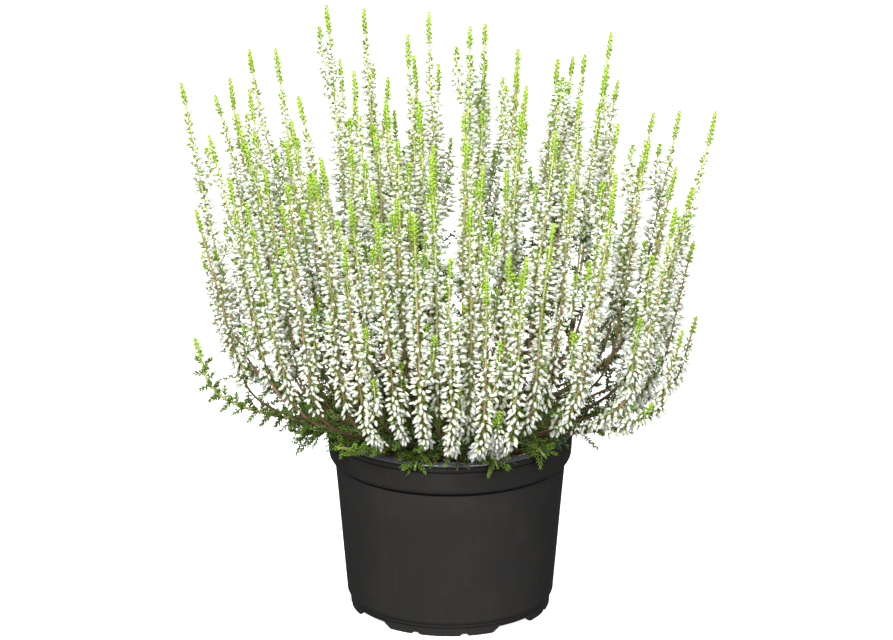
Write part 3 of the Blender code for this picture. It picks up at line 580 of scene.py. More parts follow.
class Growth:
    """Closed shapes gathered for one piece, with their finishes and their places in the tone map."""

    def __init__(self):
        self.points, self.faces, self.tones, self.finishes = [], [], [], []
        self.count = 0

    def add(self, points, faces, tones, finish):
        """Adds points, triangles, each point's (along, tint) and one finish."""
        self.points.append(points)
        self.faces.append(faces + self.count)
        self.tones.append(tones)
        self.finishes.append(np.full(len(faces), finish))
        self.count += len(points)

    def copies(self, form, places, ways, flats, sizes, tints, finish):
        """Adds a copy of a form at each place: its axis along `ways`, its flat side towards `flats`, its
        length and radius from `sizes`. Its points are place + z length way + radius (x across + y flat)."""
        points, faces, along = form
        ways = unit(ways)
        flats = unit(flats - ways * (flats * ways).sum(axis=1, keepdims=True))
        across = np.cross(flats, ways)
        frames = np.stack([across * sizes[:, 1:], flats * sizes[:, 1:], ways * sizes[:, :1]], axis=1)
        placed = places[:, None] + np.einsum("pk,ckx->cpx", points, frames)
        tones = np.stack(np.broadcast_arrays(along[None], tints[:, None]), axis=-1).copy()
        tones[..., 1] = np.clip(tones[..., 1] * 0.96 + 0.02 + 0.02 * points[None, :, 0], 0, 1)
        shift = np.arange(len(places))[:, None, None] * len(points)
        self.add(placed.reshape(-1, 3), (faces[None] + shift).reshape(-1, 3), tones.reshape(-1, 2), finish)

    def tube(self, path, radii, tints, sides, finish):
        """Adds a closed round tube along a path, with a radius and a tint at each of its points."""
        first, second = crossways(unit(np.gradient(path, axis=0)))
        out = spokes(first[:, None], second[:, None], 2 * math.pi * np.arange(sides) / sides)
        rings = path[:, None] + radii[:, None, None] * out
        points = np.concatenate([path[:1], rings.reshape(-1, 3), path[-1:]])
        fold = np.abs(2 * np.arange(sides) / sides - 1)
        tones = np.stack(np.broadcast_arrays(fold[None, :], tints[:, None]), axis=-1).reshape(-1, 2)
        tones = np.concatenate([[[0.5, tints[0]]], tones, [[0.5, tints[-1]]]])
        self.add(points, pole_to_pole_faces(len(path), sides), tones, finish)

    def build(self, name, materials, banded=True):
        """Makes the piece, with its tone map and, if banded, a map with a band for each finish."""
        points, faces = np.concatenate(self.points), np.concatenate(self.faces)
        tones, finishes = np.concatenate(self.tones), np.concatenate(self.finishes)
        made = mesh_object(name, points, faces)
        for finish in materials:
            made.data.materials.append(finish)
        made.data.polygons.foreach_set("material_index", finishes.astype(np.int32))
        corners = tones[faces].reshape(-1, 2)
        band = np.repeat(finishes, 3)
        laid = np.column_stack([0.02 + 0.96 * corners[:, 0], (band + 0.05 + 0.9 * corners[:, 1]) / 3])
        for map_name, places in (("tone", corners), ("OFBake", laid))[: 1 + banded]:
            layer = made.data.uv_layers.new(name=map_name, do_init=False)
            layer.uv.foreach_set("vector", places.astype(np.float32).ravel())
        made.data.uv_layers["tone"].active_render = True
        return made


def mesh_object(name, points, faces):
    """A smooth-shaded object of these points and of faces that all have as many corners."""
    mesh = bpy.data.meshes.new(name)
    mesh.vertices.add(len(points))
    mesh.vertices.foreach_set("co", np.asarray(points, np.float32).ravel())
    corners = faces.shape[1]
    mesh.loops.add(faces.size)
    mesh.loops.foreach_set("vertex_index", faces.astype(np.int32).ravel())
    mesh.polygons.add(len(faces))
    mesh.polygons.foreach_set("loop_start", np.arange(0, faces.size, corners, dtype=np.int32))
    mesh.polygons.foreach_set("use_smooth", np.ones(len(faces), bool))
    mesh.update(calc_edges=True)
    made = bpy.data.objects.new(name, mesh)
    bpy.context.scene.collection.objects.link(made)
    return made


def plan_width(height):
    """The plan's half width at a height: a crown that arches out over the rim, then widens slowly, as crown
    radius + arch width (1 - e^-((above / arch height)^power)) + lean above, above the crown's height."""
    above = np.maximum(height - CROWN_HEIGHT, 0)
    arch = 1 - np.exp(-((above / ARCH_HEIGHT) ** ARCH_POWER))
    return CROWN_RADIUS + ARCH_WIDTH * arch + LEAN * above


def to_plan(tips):
    """Tips as (u, v, height): their place in the plan, where the plan's half width is 1."""
    tips = np.array(tips, float) * MM
    return np.column_stack([tips[:, :2] / plan_width(tips[:, 2])[:, None], tips[:, 2]])


def hidden_tips(shown, rng):
    """Tips for the back of the plant: each is that of many random places which is farthest from the rest."""
    tips = list(shown)
    for _ in range(HIDDEN_COUNT):
        turn = rng.uniform(*HIDDEN_TURNS, HIDDEN_TRIALS) * math.pi
        reach = HIDDEN_REACH * np.sqrt(rng.uniform(0.05, 1, HIDDEN_TRIALS))
        places = np.column_stack([reach * np.cos(turn), reach * np.sin(turn)])
        taken = np.array(tips)[:, :2]
        nearest = np.linalg.norm(places[:, None] - taken[None], axis=2).min(axis=1)
        u, v = places[nearest.argmax()]
        outer = math.hypot(u, v)
        lower = HIDDEN_FALL * outer**2
        height = HIDDEN_TOP - lower - rng.uniform(0, HIDDEN_VARIATION) * MM * (0.4 + outer)
        widest = (PLANT_RADIUS / outer - CROWN_RADIUS - ARCH_WIDTH) / LEAN + CROWN_HEIGHT
        tips.append((u, v, min(height, widest)))
    return np.array(tips)


def spread(tips):
    """Pushes tips that are too near each other apart, mostly in depth, and keeps each on its line of sight
    and inside the plant's radius."""
    tips = tips.copy()
    give = np.array(SPREAD_GIVE)
    for _ in range(SPREAD_ROUNDS):
        gap = tips[:, None, :2] - tips[None, :, :2]
        far = np.linalg.norm(gap, axis=2) + 1e-9
        np.fill_diagonal(far, 9)
        push = np.maximum(LEAST_SPACING - far, 0) / far
        step = (gap * push[:, :, None]).sum(axis=1) * SPREAD_STEP * give
        tips[:, 2] -= step[:, 1] * plan_width(tips[:, 2]) * SIGHT_SLOPE
        tips[:, :2] += step
        reach = np.linalg.norm(tips[:, :2], axis=1) * plan_width(tips[:, 2])
        tips[:, :2] *= np.minimum(PLANT_RADIUS / reach, 1)[:, None]
    return tips


def distance_to_line(places, start, end):
    """How far each place in the plan is from the straight line between two others."""
    along = end - start
    part = np.clip(((places - start) @ along) / (along @ along), 0, 1)
    return np.linalg.norm(places - (start + part[:, None] * along), axis=1)


def crosses(a, b, c, d):
    """True where the line a-b crosses the line c-d in the plan."""

    def side(p, q, r):
        """Above 0 if r is at the left of the line from p to q, below 0 if at its right."""
        return (q[0] - p[0]) * (r[1] - p[1]) - (q[1] - p[1]) * (r[0] - p[0])

    return side(a, b, c) * side(a, b, d) < 0 and side(c, d, a) * side(c, d, b) < 0


def group_sprays(tips):
    """Groups of tips that share a root: from the edge inwards, a shoot takes its nearest free neighbours."""
    places = tips[:, :2]
    free = set(range(len(tips)))
    links, sprays = [], []
    for main in np.argsort(-np.hypot(places[:, 0], places[:, 1])):
        if main not in free:
            continue
        free.remove(main)
        sides = []
        for other in np.argsort(np.linalg.norm(places - places[main], axis=1))[1:]:
            apart = np.linalg.norm(places[other] - places[main])
            if len(sides) == MOST_SIDES or apart > SIDE_REACH:
                break
            rest = [i for i in range(len(tips)) if i not in (main, other)]
            near = distance_to_line(places[rest], places[main], places[other]).min()
            blocked = any(crosses(places[main], places[other], places[a], places[b]) for a, b in links)
            if other in free and near > CLEAR_OF_STEM and not blocked:
                free.remove(other)
                sides.append(int(other))
                links.append((main, other))
        sprays.append((int(main), sides))
    return sprays


def shoot_path(tip, root, wobble, count=160):
    """Points up a shoot, from under the soil to its tip. It starts at the root's place in the plan, moves to
    the tip's own place between the two fork heights and sways a little. An outer one also sags outwards."""
    place, top = tip[:2], tip[2]
    low = SOIL_TOP - ROOT_DEPTH if np.array_equal(root, place) else FORK_HEIGHT
    height = np.linspace(low, top, count)
    move = eased((height - FORK_HEIGHT) / (FORK_END - FORK_HEIGHT))[:, None]
    plan = root[None] * (1 - move) + place[None] * move
    outer = eased((np.hypot(*place) - SAG_PLACE) / SAG_PLACE_RANGE)
    sag = eased((height - CROWN_HEIGHT) / SAG_RISE) * (1 - eased((height - SAG_END_HEIGHT) / SAG_END_RISE))
    plan = plan * (1 + SAG * outer * sag)[:, None]
    rise = np.clip((height - SWAY_HEIGHT) / SWAY_RISE, 0, 1)
    sway = np.sin(np.outer(rise, wobble[:2] * SWAY_RATE) + wobble[2:4]) - np.sin(wobble[2:4])
    plan = plan + SWAY * sway * rise[:, None]
    return np.column_stack([plan * plan_width(height)[:, None], height])


def shoot_sways(count):
    """For each shoot, how fast it sways across and in depth, and where the sway starts."""
    rng = np.random.default_rng(SEED)
    return rng.uniform(0, 1, (count, 4)) * [1, 1, 2 * math.pi, 2 * math.pi] + [0.4, 0.4, 0, 0]


def run_along(path):
    """How far along a path each of its points is."""
    return np.concatenate([[0], np.cumsum(np.linalg.norm(np.diff(path, axis=0), axis=1))])


def at_lengths(path, lengths):
    """Points at these lengths along a path, the direction there and two directions across it."""
    run = run_along(path)
    along = unit(np.gradient(path, axis=0))
    centre = np.column_stack([np.interp(lengths, run, column) for column in path.T])
    along = unit(np.column_stack([np.interp(lengths, run, column) for column in along.T]))
    return centre, along, *crossways(along)


def length_at_height(path, height):
    """How far along a path it first reaches a height."""
    return float(np.interp(height, path[:, 2], run_along(path)))


def flower_start(place):
    """The height where a spike's buds begin: near the rim on the outermost shoots, a little higher on the
    ones behind them, and high in the middle of the plant."""
    inner = np.clip((1.2 - np.hypot(*place)) / 0.2, 0, 1)
    deep = np.clip((1.0 - np.hypot(*place)) / 0.4, 0, 1)
    return LOWEST_FLOWER + SECOND_FLOWER * inner + (INNER_FLOWER - LOWEST_FLOWER - SECOND_FLOWER) * deep


def leaf_rows(growth, path, start, end, leaves, tints, rng):
    """Pairs of leaves of one kind up a stretch of a stem, each pair a quarter turn from the last, with tints
    from its start to its end. They're a little smaller in the first pairs, and much smaller in the last."""
    rows = max(int((end - start) / leaves.pitch), 2)
    part = np.repeat((np.arange(rows) + 0.5) / rows, 2)
    centre, along, first, second = at_lengths(path, start + part * (end - start))
    turns = np.repeat(np.arange(rows) * math.pi / 2, 2) + np.tile([0, math.pi], rows)
    out = spokes(first, second, turns + rng.normal(0, LEAF_TURN_SCATTER, 2 * rows))
    angle = between(leaves.angles, part) + rng.normal(0, LEAF_ANGLE_SCATTER, 2 * rows)
    ways = np.cos(angle)[:, None] * along + np.sin(angle)[:, None] * out
    grown = (0.78 + 0.22 * eased(part / 0.3)) * (1 - 0.35 * part**3)
    length = leaves.size * grown * rng.uniform(*LEAF_SIZE_RANGE, 2 * rows)
    sizes = np.column_stack([length, length * leaves.plump])
    tints = np.clip(between(tints, part) + rng.normal(0, LEAF_TINT_SCATTER, 2 * rows), 0, 1)
    growth.copies(leaves.form, centre + out * LEAF_FOOT, ways, out, sizes, tints, LEAF)


def twiglet(growth, base, way, up, length, leaves, tints, rng):
    """A short leafy side twig, as base + length (t way + 0.28 t squared up) with t from 0 to 1."""
    t = np.linspace(0, 1, 5)
    path = base + length * (way * t[:, None] + up * 0.28 * t[:, None] ** 2)
    growth.tube(path, between(TWIGLET_RADII, t), np.full(5, tints[0]), 3, LEAF)
    leaf_rows(growth, path, 0.06 * length, length, leaves, tints, rng)


def stem(growth, path, radius, shade):
    """A spike's stem, from its root to its tip. The greater its shade, the sooner its bark turns green."""
    total = run_along(path)[-1]
    lengths = np.linspace(0, total - STEM_END_GAP, max(int(total / STEM_STEP), 6))
    centre = at_lengths(path, lengths)[0]
    part = np.clip((centre[:, 2] - SOIL_TOP) / (path[-1, 2] - SOIL_TOP), 0, 1)
    radii = STEM_RADIUS_TOP + (radius - STEM_RADIUS_TOP) * (1 - part) ** 0.8
    height = np.clip((centre[:, 2] - SOIL_TOP) / BARK_HEIGHT, 0, 1)
    growth.tube(centre, radii, np.clip(height * (0.85 + shade), 0.02, 0.98), 6, BARK)


def buds(growth, path, start, end, rng):
    """Buds all round a spike, four to a turn and each turn an eighth further round, with a leaf under each.
    They stand out and up near the top, straight out lower down, and hang over the rim."""
    count = max(int((end - start) / BUD_PITCH), 4)
    index = np.arange(count)
    part = (index + 0.5) / count
    lengths = start + part * (end - start) + rng.normal(0, BUD_JITTER, count)
    centre, along, first, second = at_lengths(path, lengths)
    turns = index * math.pi / 2 + (index // 4) * math.pi / 4 + rng.normal(0, 0.28, count)
    out = spokes(first, second, turns)
    low = eased((DROOP_TOP - centre[:, 2]) / DROOP_RISE)
    ways = out + along * ((0.40 - 0.42 * low) * eased(0.35 + part))[:, None]
    ways[:, 2] -= 1.10 * low + 0.16
    ways += rng.normal(0, 0.24, (count, 3))
    young = eased((part - YOUNG_BUDS_FROM) / (1 - YOUNG_BUDS_FROM))
    old = eased((0.06 - part) / 0.06)
    length = BUD_LENGTH * (1 - 0.42 * young - 0.3 * old) * rng.uniform(*BUD_SIZE_RANGE, count)
    radius = BUD_RADIUS * (1 - 0.34 * young - 0.2 * old) * rng.uniform(*BUD_SIZE_RANGE, count)
    sizes = np.column_stack([length, radius])
    keep = rng.uniform(0, 1, count) > 0.03 + 0.30 * young + 0.4 * old
    tints = rng.uniform(0, 1, count)
    bases = centre + out * (rng.uniform(*BUD_STALK, count) * (1 - 0.4 * young))[:, None]
    growth.copies(BUD_FORM, bases[keep], ways[keep], along[keep], sizes[keep], tints[keep], PETAL)
    leaf_ways = out * 0.9 + along * rng.uniform(0.3, 1.1, (count, 1)) + rng.normal(0, 0.2, (count, 3))
    leaf_length = between(BUD_LEAF_LENGTHS, young) * rng.uniform(0.7, 1.3, count)
    leaf_sizes = np.column_stack([leaf_length, BUD_LEAF_SLIMNESS * leaf_length])
    # Painted shade: the leaves under low buds get darker tints, higher ones fresher
    height = eased((centre[:, 2] - BUD_LEAF_SHADE_TOP) / BUD_LEAF_SHADE_FADE)
    leaf_tints = np.clip(0.46 + 0.36 * height + rng.normal(0, 0.12, count), 0, 1)
    foot = centre + BUD_LEAF_FOOT * spokes(first, second, turns + 0.6)
    growth.copies(NEEDLE_FORM, foot, leaf_ways, out, leaf_sizes, leaf_tints, LEAF)


def whiskers(growth, path, start, end, rng):
    """Hair-thin dry styles that stick out of the youngest buds below a tip and bend down."""
    count = int((end - start) / WHISKER_SPACING)
    centre, along, first, second = at_lengths(path, start + rng.uniform(0, 1, count) * (end - start))
    out = spokes(first, second, rng.uniform(0, 2 * math.pi, count))
    sizes = np.column_stack([rng.uniform(*WHISKER_LENGTH, count), np.full(count, WHISKER_RADIUS)])
    growth.copies(HAIR_FORM, centre, out, along, sizes, np.full(count, 0.3), BARK)


def leafy_stretch(growth, path, start, end, rng):
    """The lowest shoot bears no buds: tufts of small leaves on all four sides by turns, with dry styles."""
    first_tuft = start - LEAFY_SPIKE_BELOW_BUDS
    centre, along, first, second = at_lengths(path, np.arange(first_tuft, end, TUFT_SPACING))
    for index, base in enumerate(centre):
        out = spokes(first[index], second[index], index * math.pi / 2 + rng.normal(0, 0.4))
        tints = (rng.uniform(0.35, 0.5), rng.uniform(0.6, 0.75))
        way = unit(out * 0.9 + along[index] * 0.5)
        twiglet(growth, base, way, out, rng.uniform(*TUFT_LENGTH), TUFT_LEAVES, tints, rng)
    leaf_rows(growth, path, first_tuft, end, LOWEST_SHOOT_LEAVES, (0.4, 0.7), rng)
    whiskers(growth, path, first_tuft + 30 * MM, end, rng)


def low_twiglets(growth, path, start, end, rng):
    """Leafy twiglets on the bare lower part of a spike, which make the plant's dark green inside: near the
    middle their leaves get near-black tints, a painted shade, and farther out they are paler. At the left,
    past the rim, they hang down beside the pot."""
    lengths = np.arange(start + rng.uniform(0, 4) * MM, end, INNER_TWIGLET_SPACING)
    if not len(lengths):
        return
    centre, along, first, second = at_lengths(path, lengths)
    out = spokes(first, second, np.arange(len(lengths)) * INNER_TWIGLET_TURN + rng.uniform(0, 6))
    for base, way, side in zip(centre, along, out, strict=True):
        outside = eased((np.hypot(base[0], base[1]) - PALER_FROM) / PALER_RISE)
        beside = eased((-base[0] - HANGING_FROM) / HANGING_RISE)
        outward = unit(side * 0.9 + way * 0.45 - np.array([0, 0, 0.9]) * beside)
        # Painted shade: leaves near the middle get the darkest tints, farther out paler ones
        deep = 0.02 + 0.26 * outside
        tints = (deep, deep + 0.2)
        twiglet(growth, base, outward, way, rng.uniform(*INNER_TWIGLET_LENGTH), INNER_LEAVES, tints, rng)


def lime_tip(growth, path, start, end, rng):
    """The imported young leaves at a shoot's end: plump scales in bunches, on a neck of looser pairs."""
    leaf_rows(growth, path, start - TIP_NECK, start, NECK_LEAVES, (0.66, 0.82), rng)
    leaf_rows(growth, path, start, end - 0.8 * MM, TIP_LEAVES, (0.70, 0.95), rng)
    leaf_rows(growth, path, start, end, TIP_HEART_LEAVES, (0.84, 1.0), rng)


def sprigs(growth, path, start, end, rng):
    """Short flowering side shoots that leave a spike and climb beside it, each with its own green tip, mostly
    at the side of the plant's middle. With t from 0 to 1, one is as far out as offset (1 - e^(-3.2 t))."""
    first_base = start + rng.uniform(*SPRIG_START)
    for base_length in np.arange(first_base, end - SPRIG_TOP_CLEARANCE, SPRIG_SPACING):
        centre, _, first, second = at_lengths(path, np.array([base_length]))
        side = spokes(first[0], second[0], rng.uniform(0, 2 * math.pi))
        if side[:2] @ centre[0, :2] > MOST_OUTWARD_SPRIG:
            side = -side
        length = rng.uniform(*SPRIG_LENGTH)
        t = np.linspace(0, 1, 24)
        run = at_lengths(path, base_length + t * length * 0.93)[0]
        line = run + side * (SPRIG_OFFSET * (1 - np.exp(-3.2 * t)))[:, None]
        part = np.linspace(0, 1, 6)
        growth.tube(line[::4], between(SPRIG_RADII, part), between((0.6, 0.9), part), 4, BARK)
        total = run_along(line)[-1]
        tip = rng.uniform(*SPRIG_TIP)
        buds(growth, line, 5 * MM, total - tip, rng)
        lime_tip(growth, line, total - tip, total, rng)


def spike(growth, path, place, radius, rng):
    """One flower spike: stem, twiglets low down, buds, sprigs and a lime tip. Its buds start higher at the
    left of the front, and the lowest spike has none."""
    total = run_along(path)[-1]
    inner = eased((1.15 - np.hypot(*place)) / 0.3)
    left = eased((-place[0] - 0.35) / 0.25) * eased((1.14 + place[0]) / 0.12) * (place[1] < 0)
    higher = BARE_AT_LEFT * left + rng.uniform(0, 6 + 16 * inner) * MM
    start = length_at_height(path, flower_start(place) + higher)
    tip = rng.uniform(*TIP_LENGTH)
    budless = path[-1, 2] < LEAFY_SPIKE_HEIGHT
    stem(growth, path, radius, 3.0 if budless else rng.uniform(-0.35, 0.3))
    lowest = length_at_height(path, LOWEST_TWIGLET) + 3 * MM
    low_twiglets(growth, path, lowest, start + TWIGLETS_PAST_BUDS, rng)
    if budless:
        leafy_stretch(growth, path, start, total - tip, rng)
        lime_tip(growth, path, total - tip, total, rng)
        return
    buds(growth, path, start, total - tip - 3 * MM, rng)
    whiskers(growth, path, total - tip - WHISKERS_BELOW_TIP, total - tip, rng)
    sprigs(growth, path, start, total - tip, rng)
    lime_tip(growth, path, total - tip, total, rng)


def flower_sprays(finishes):
    """Every flower spray of the frame, made of its spikes."""
    tips = spread(hidden_tips(to_plan(SEEN_TIPS), np.random.default_rng(SEED)))
    sways = shoot_sways(len(tips) + len(GREEN_TIP_HEIGHTS))
    for number, (main, sides) in enumerate(group_sprays(tips)):
        rng = np.random.default_rng(SEED * 100 + number)
        growth = Growth()
        for tip in (main, *sides):
            path = shoot_path(tips[tip], tips[main, :2], sways[tip])
            radius = STEM_RADIUS_BASE if tip == main else SIDE_STEM_RADIUS
            spike(growth, path, tips[tip, :2], radius, rng)
        node = f"flower_spray_{number + 1:02d}"
        finished(growth.build(f"{node}_in_bud", finishes), "flower_shoots", node)
    return sways[len(tips):]


def finished(piece, slot, *nodes):
    """A piece takes its place: it rides on the frame and stands for its nodes. Its slot is not used."""
    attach(piece, ROOT)
    if nodes:
        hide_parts(*nodes)


def root_of(node):
    """Where a node's lowest corners are, in plan."""
    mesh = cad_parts[node].data
    points = np.empty(len(mesh.vertices) * 3, np.float32)
    mesh.vertices.foreach_get("co", points)
    points = points.reshape(-1, 3)
    return points[points[:, 2] < points[:, 2].min() + 0.1 * MM, :2].mean(axis=0).astype(float)


def leafy_side_twigs(growth, path, start, end, pitch, length, tints, rng):
    """Feathery twiglets by turns to the left and right of a shoot, shorter towards its end."""
    lengths = np.arange(start, end, pitch)
    centre, along, first, second = at_lengths(path, lengths)
    for index, base in enumerate(centre):
        part = index / max(len(lengths) - 1, 1)
        out = spokes(first[index], second[index], (index % 2) * math.pi + rng.normal(0, 0.5))
        way = unit(out * 0.85 + along[index] * 0.6)
        twig = length * (1 - 0.45 * part) * rng.uniform(0.85, 1.15)
        twiglet(growth, base, way, along[index], twig, FEATHER_LEAVES, tints, rng)


def leafy_shoots(finishes, sways):
    """The green shoots without buds that stand among the spikes."""
    for number, height in enumerate(GREEN_TIP_HEIGHTS):
        node = f"leafy_shoot_{number + 1:02d}"
        rng = np.random.default_rng(SEED * 200 + number)
        place = root_of(node) / CROWN_RADIUS
        path = shoot_path(np.array([*place, height]), place, sways[number])
        growth = Growth()
        stem(growth, path, SIDE_STEM_RADIUS, 0.2)
        start, total = length_at_height(path, GREEN_SHOOT_LEAVES), run_along(path)[-1]
        leaf_rows(growth, path, start, total, SHOOT_LEAVES, (0.45, 0.95), rng)
        twigs = (start + 3 * MM, total - 5 * MM, SHOOT_TWIG_SPACING, SHOOT_TWIG_LENGTH)
        leafy_side_twigs(growth, path, *twigs, (0.40, 0.85), rng)
        finished(growth.build(f"{node}_leaves", finishes), "green_leaves", node)


def rim_path(azimuth, length):
    """Points along a shoot that comes up beside the rim, lies on it and hangs over outside."""
    out = np.array([math.sin(azimuth), -math.cos(azimuth)])
    t = np.linspace(0, 1, 80)
    reach = RIM_SHOOT_ROOT + (length - 4 * MM) * eased((t - 0.21) / 0.99) ** 1.1
    climb = SOIL_TOP - ROOT_DEPTH * (1 - eased(t / 0.2))
    over = (RIM_TOP + RIM_SHOOT_CLEARANCE - SOIL_TOP) * eased((t - 0.12) / 0.4)
    drop = RIM_SHOOT_DROP * np.clip((reach - LIP_RADIUS) / RIM_SHOOT_DROP_REACH, 0, 1) ** 1.2
    return np.column_stack([out[0] * reach, out[1] * reach, climb + over - drop]), reach


def rim_shoots(finishes):
    """The green shoots that lie over the rim and end in a feathery fan."""
    for number, length in enumerate(RIM_SHOOT_LENGTHS):
        node = f"rim_shoot_{number + 1:02d}"
        rng = np.random.default_rng(SEED * 300 + number)
        x, y = root_of(node)
        path, reach = rim_path(math.atan2(x, -y), length)
        growth = Growth()
        run = run_along(path)
        part = np.linspace(0, 1, len(path[::4]))
        growth.tube(path[::4], between(RIM_SHOOT_RADII, part), between((0.55, 0.85), part), 6, BARK)
        start = float(np.interp(FAN_START, reach, run))
        leaf_rows(growth, path, start, run[-1], RIM_SHOOT_LEAVES, (0.50, 0.85), rng)
        leafy_side_twigs(growth, path, start, run[-1] - 3 * MM, FAN_SPACING, FAN_LENGTH, (0.40, 0.78), rng)
        finished(growth.build(f"{node}_leaves", finishes), "green_leaves", node)


def rim_foliage(finishes):
    """Feathery green twigs that stand in the soil inside the rim. Those at the flanks lean out over the rim,
    those at the front end above the soil and let it show. Two pieces, for the front and back of the pot."""
    rng = np.random.default_rng(SEED * 600)
    for name, azimuths in (("front_rim_twigs", FRONT_TWIG_AZIMUTHS), ("back_rim_twigs", BACK_TWIG_AZIMUTHS)):
        growth = Growth()
        for azimuth in np.radians(azimuths) + rng.normal(0, 0.02, len(azimuths)):
            rim_twig(growth, azimuth, rng)
        finished(growth.build(name, finishes), "green_leaves")


def rim_twig(growth, azimuth, rng):
    """One of those twigs. Its reach grows as t to the power 1.2, its height as 1 - (1 - t) to the power 2.4,
    and at the left it sinks again past the rim."""
    t = np.linspace(0, 1, 24)
    flank = eased((abs(math.sin(azimuth)) - 0.8) / 0.16)
    left = flank * (math.sin(azimuth) < 0)
    root = rng.uniform(*RIM_TWIG_ROOT)
    end = rng.uniform(*RIM_TWIG_END) + rng.uniform(*RIM_TWIG_FARTHER_AT_FLANKS) * flank
    end += rng.uniform(*RIM_TWIG_FARTHER_AT_LEFT) * left
    reach = root + (end - root) * t**1.2
    bottom = SOIL_TOP - RIM_TWIG_DEPTH
    climb = bottom + (rng.uniform(*RIM_TWIG_HEIGHT) - bottom) * (1 - (1 - t) ** 2.4)
    drop = rng.uniform(*RIM_TWIG_DROP_AT_LEFT) * left
    climb -= drop * np.clip((reach - LIP_RADIUS) / (20 * MM), 0, 1)
    turn = azimuth + rng.normal(0, 0.10) * t
    path = np.column_stack([reach * np.sin(turn), -reach * np.cos(turn), climb])
    total = run_along(path)[-1]
    part = np.linspace(0, 1, 6)
    growth.tube(path[::4], between(RIM_TWIG_RADII, part), between((0.35, 0.7), part), 4, BARK)
    # Painted shade: each twig's leaves start with near-black tints inside the rim and pale out along it
    tints = (rng.uniform(0.10, 0.30), rng.uniform(0.58, 0.84))
    leaf_rows(growth, path, 12 * MM, total, RIM_TWIG_LEAVES, tints, rng)
    centre, along, first, second = at_lengths(path, np.arange(11 * MM, total - 4 * MM, RIM_TWIGLET_SPACING))
    for index, base in enumerate(centre):
        side = spokes(first[index], second[index], (index % 2) * math.pi + rng.normal(0, 0.6))
        way = unit(side * 0.9 + along[index] * 0.55)
        length = rng.uniform(*RIM_TWIGLET_LENGTH)
        twiglet(growth, base, way, along[index], length, RIM_TWIGLET_LEAVES, tints, rng)


def turned_grid(profile, turns, lift=None):
    """A closed surface: a profile of (radius, height) carried round the axis at these turns, from a pole on
    the axis to another. `lift` may raise points by their turn and height."""
    profile = np.array(profile, float)
    radius, height = profile[1:-1].T
    heights = np.repeat(height[:, None], len(turns), axis=1)
    radii = np.repeat(radius[:, None], len(turns), axis=1)
    if lift is not None:
        radii, heights = lift(radii, heights, turns[None])
    rings = np.stack([radii * np.sin(turns), -radii * np.cos(turns), heights], axis=-1).reshape(-1, 3)
    points = np.concatenate([[[0, 0, profile[0, 1]]], rings, [[0, 0, profile[-1, 1]]]])
    return points, pole_to_pole_faces(len(radius), len(turns))


def arc(centre, radius, start, end, count):
    """Points of a profile on an arc between two angles in degrees, 0 outwards and 90 up."""
    angles = np.radians(np.linspace(start, end, count))
    return [(centre[0] + radius * math.cos(angle), centre[1] + radius * math.sin(angle)) for angle in angles]


def near(radius, height, *steps):
    """Points of a profile that lie these (outwards, upwards) millimetres from one point."""
    return [(radius + out * MM, height + up * MM) for out, up in steps]


def pot_profile():
    """The pot's section: from the middle of its underside outwards, up the wall, over the rim and back
    inside to the middle of its floor."""
    widening = WALL_RADIUS_HIGH - WALL_RADIUS_LOW
    return [
        *near(0, FLOOR_UNDERSIDE, (0, 0), (20, 0), (40, 0)),
        *near(FOOT_INNER_RADIUS, FLOOR_UNDERSIDE, (-0.2, 0), (0, -0.6)),
        *near(FOOT_INNER_RADIUS, 0, (0.1, 1.2), (0.3, 0)),
        *near(FOOT_RADIUS, 0, (-0.4, 0), (-0.1, 0.3), (0, 1.4), (0.1, 3)),
        *near(FOOT_RADIUS, FLOOR_UNDERSIDE, (0.2, -0.3), (0.4, 0.1)),
        *arc((WALL_RADIUS_LOW - 4 * MM, 9.5 * MM), 4 * MM, -50, -4, 6),
        (WALL_RADIUS_LOW, 9.9 * MM),
        (WALL_RADIUS_LOW + 0.25 * widening, 28 * MM),
        (WALL_RADIUS_LOW + 0.5 * widening, 46.6 * MM),
        (WALL_RADIUS_LOW + 0.75 * widening, 65 * MM),
        *near(WALL_RADIUS_HIGH, GROOVE_HEIGHT, (-0.1, -1.2), (-0.45, -0.3), (-0.45, 0.2), (0.4, 0.6)),
        *near(COLLAR_RADIUS_LOW, GROOVE_HEIGHT, (-1.9, 1.2), (-1.0, 2.0), (-0.4, 3.1)),
        *near(COLLAR_RADIUS_LOW, GROOVE_HEIGHT, (-0.1, 4.6), (0.15, 8.5)),
        *near(COLLAR_RADIUS_HIGH, LIP_UNDERSIDE, (-0.1, -1.0), (-0.4, -0.3)),
        *near(LIP_RADIUS, LIP_UNDERSIDE, (-0.4, 0), (-0.2, 0.25)),
        *near(LIP_RADIUS, BEAD_UNDERSIDE, (-0.2, -0.7), (-0.4, -0.4), (-0.6, -0.1)),
        *arc((LIP_RADIUS - BEAD_RADIUS, RIM_TOP - BEAD_RADIUS), BEAD_RADIUS, -8, 78, 11),
        *near(LIP_RADIUS, RIM_TOP, (-2.6, 0), (-3.4, -0.15)),
        *near(RIM_INNER_RADIUS, RIM_TOP, (0.6, -0.5), (0.1, -1.0), (0, -1.8)),
        (INNER_RADIUS_HIGH + 0.2 * MM, 94 * MM),
        (INNER_RADIUS_HIGH, GROOVE_HEIGHT),
        (INNER_RADIUS_LOW, FLOOR_TOP + 2.6 * MM),
        (INNER_RADIUS_LOW - 2.4 * MM, FLOOR_TOP),
        *near(0, FLOOR_TOP, (30, 0), (0, 0)),
    ]


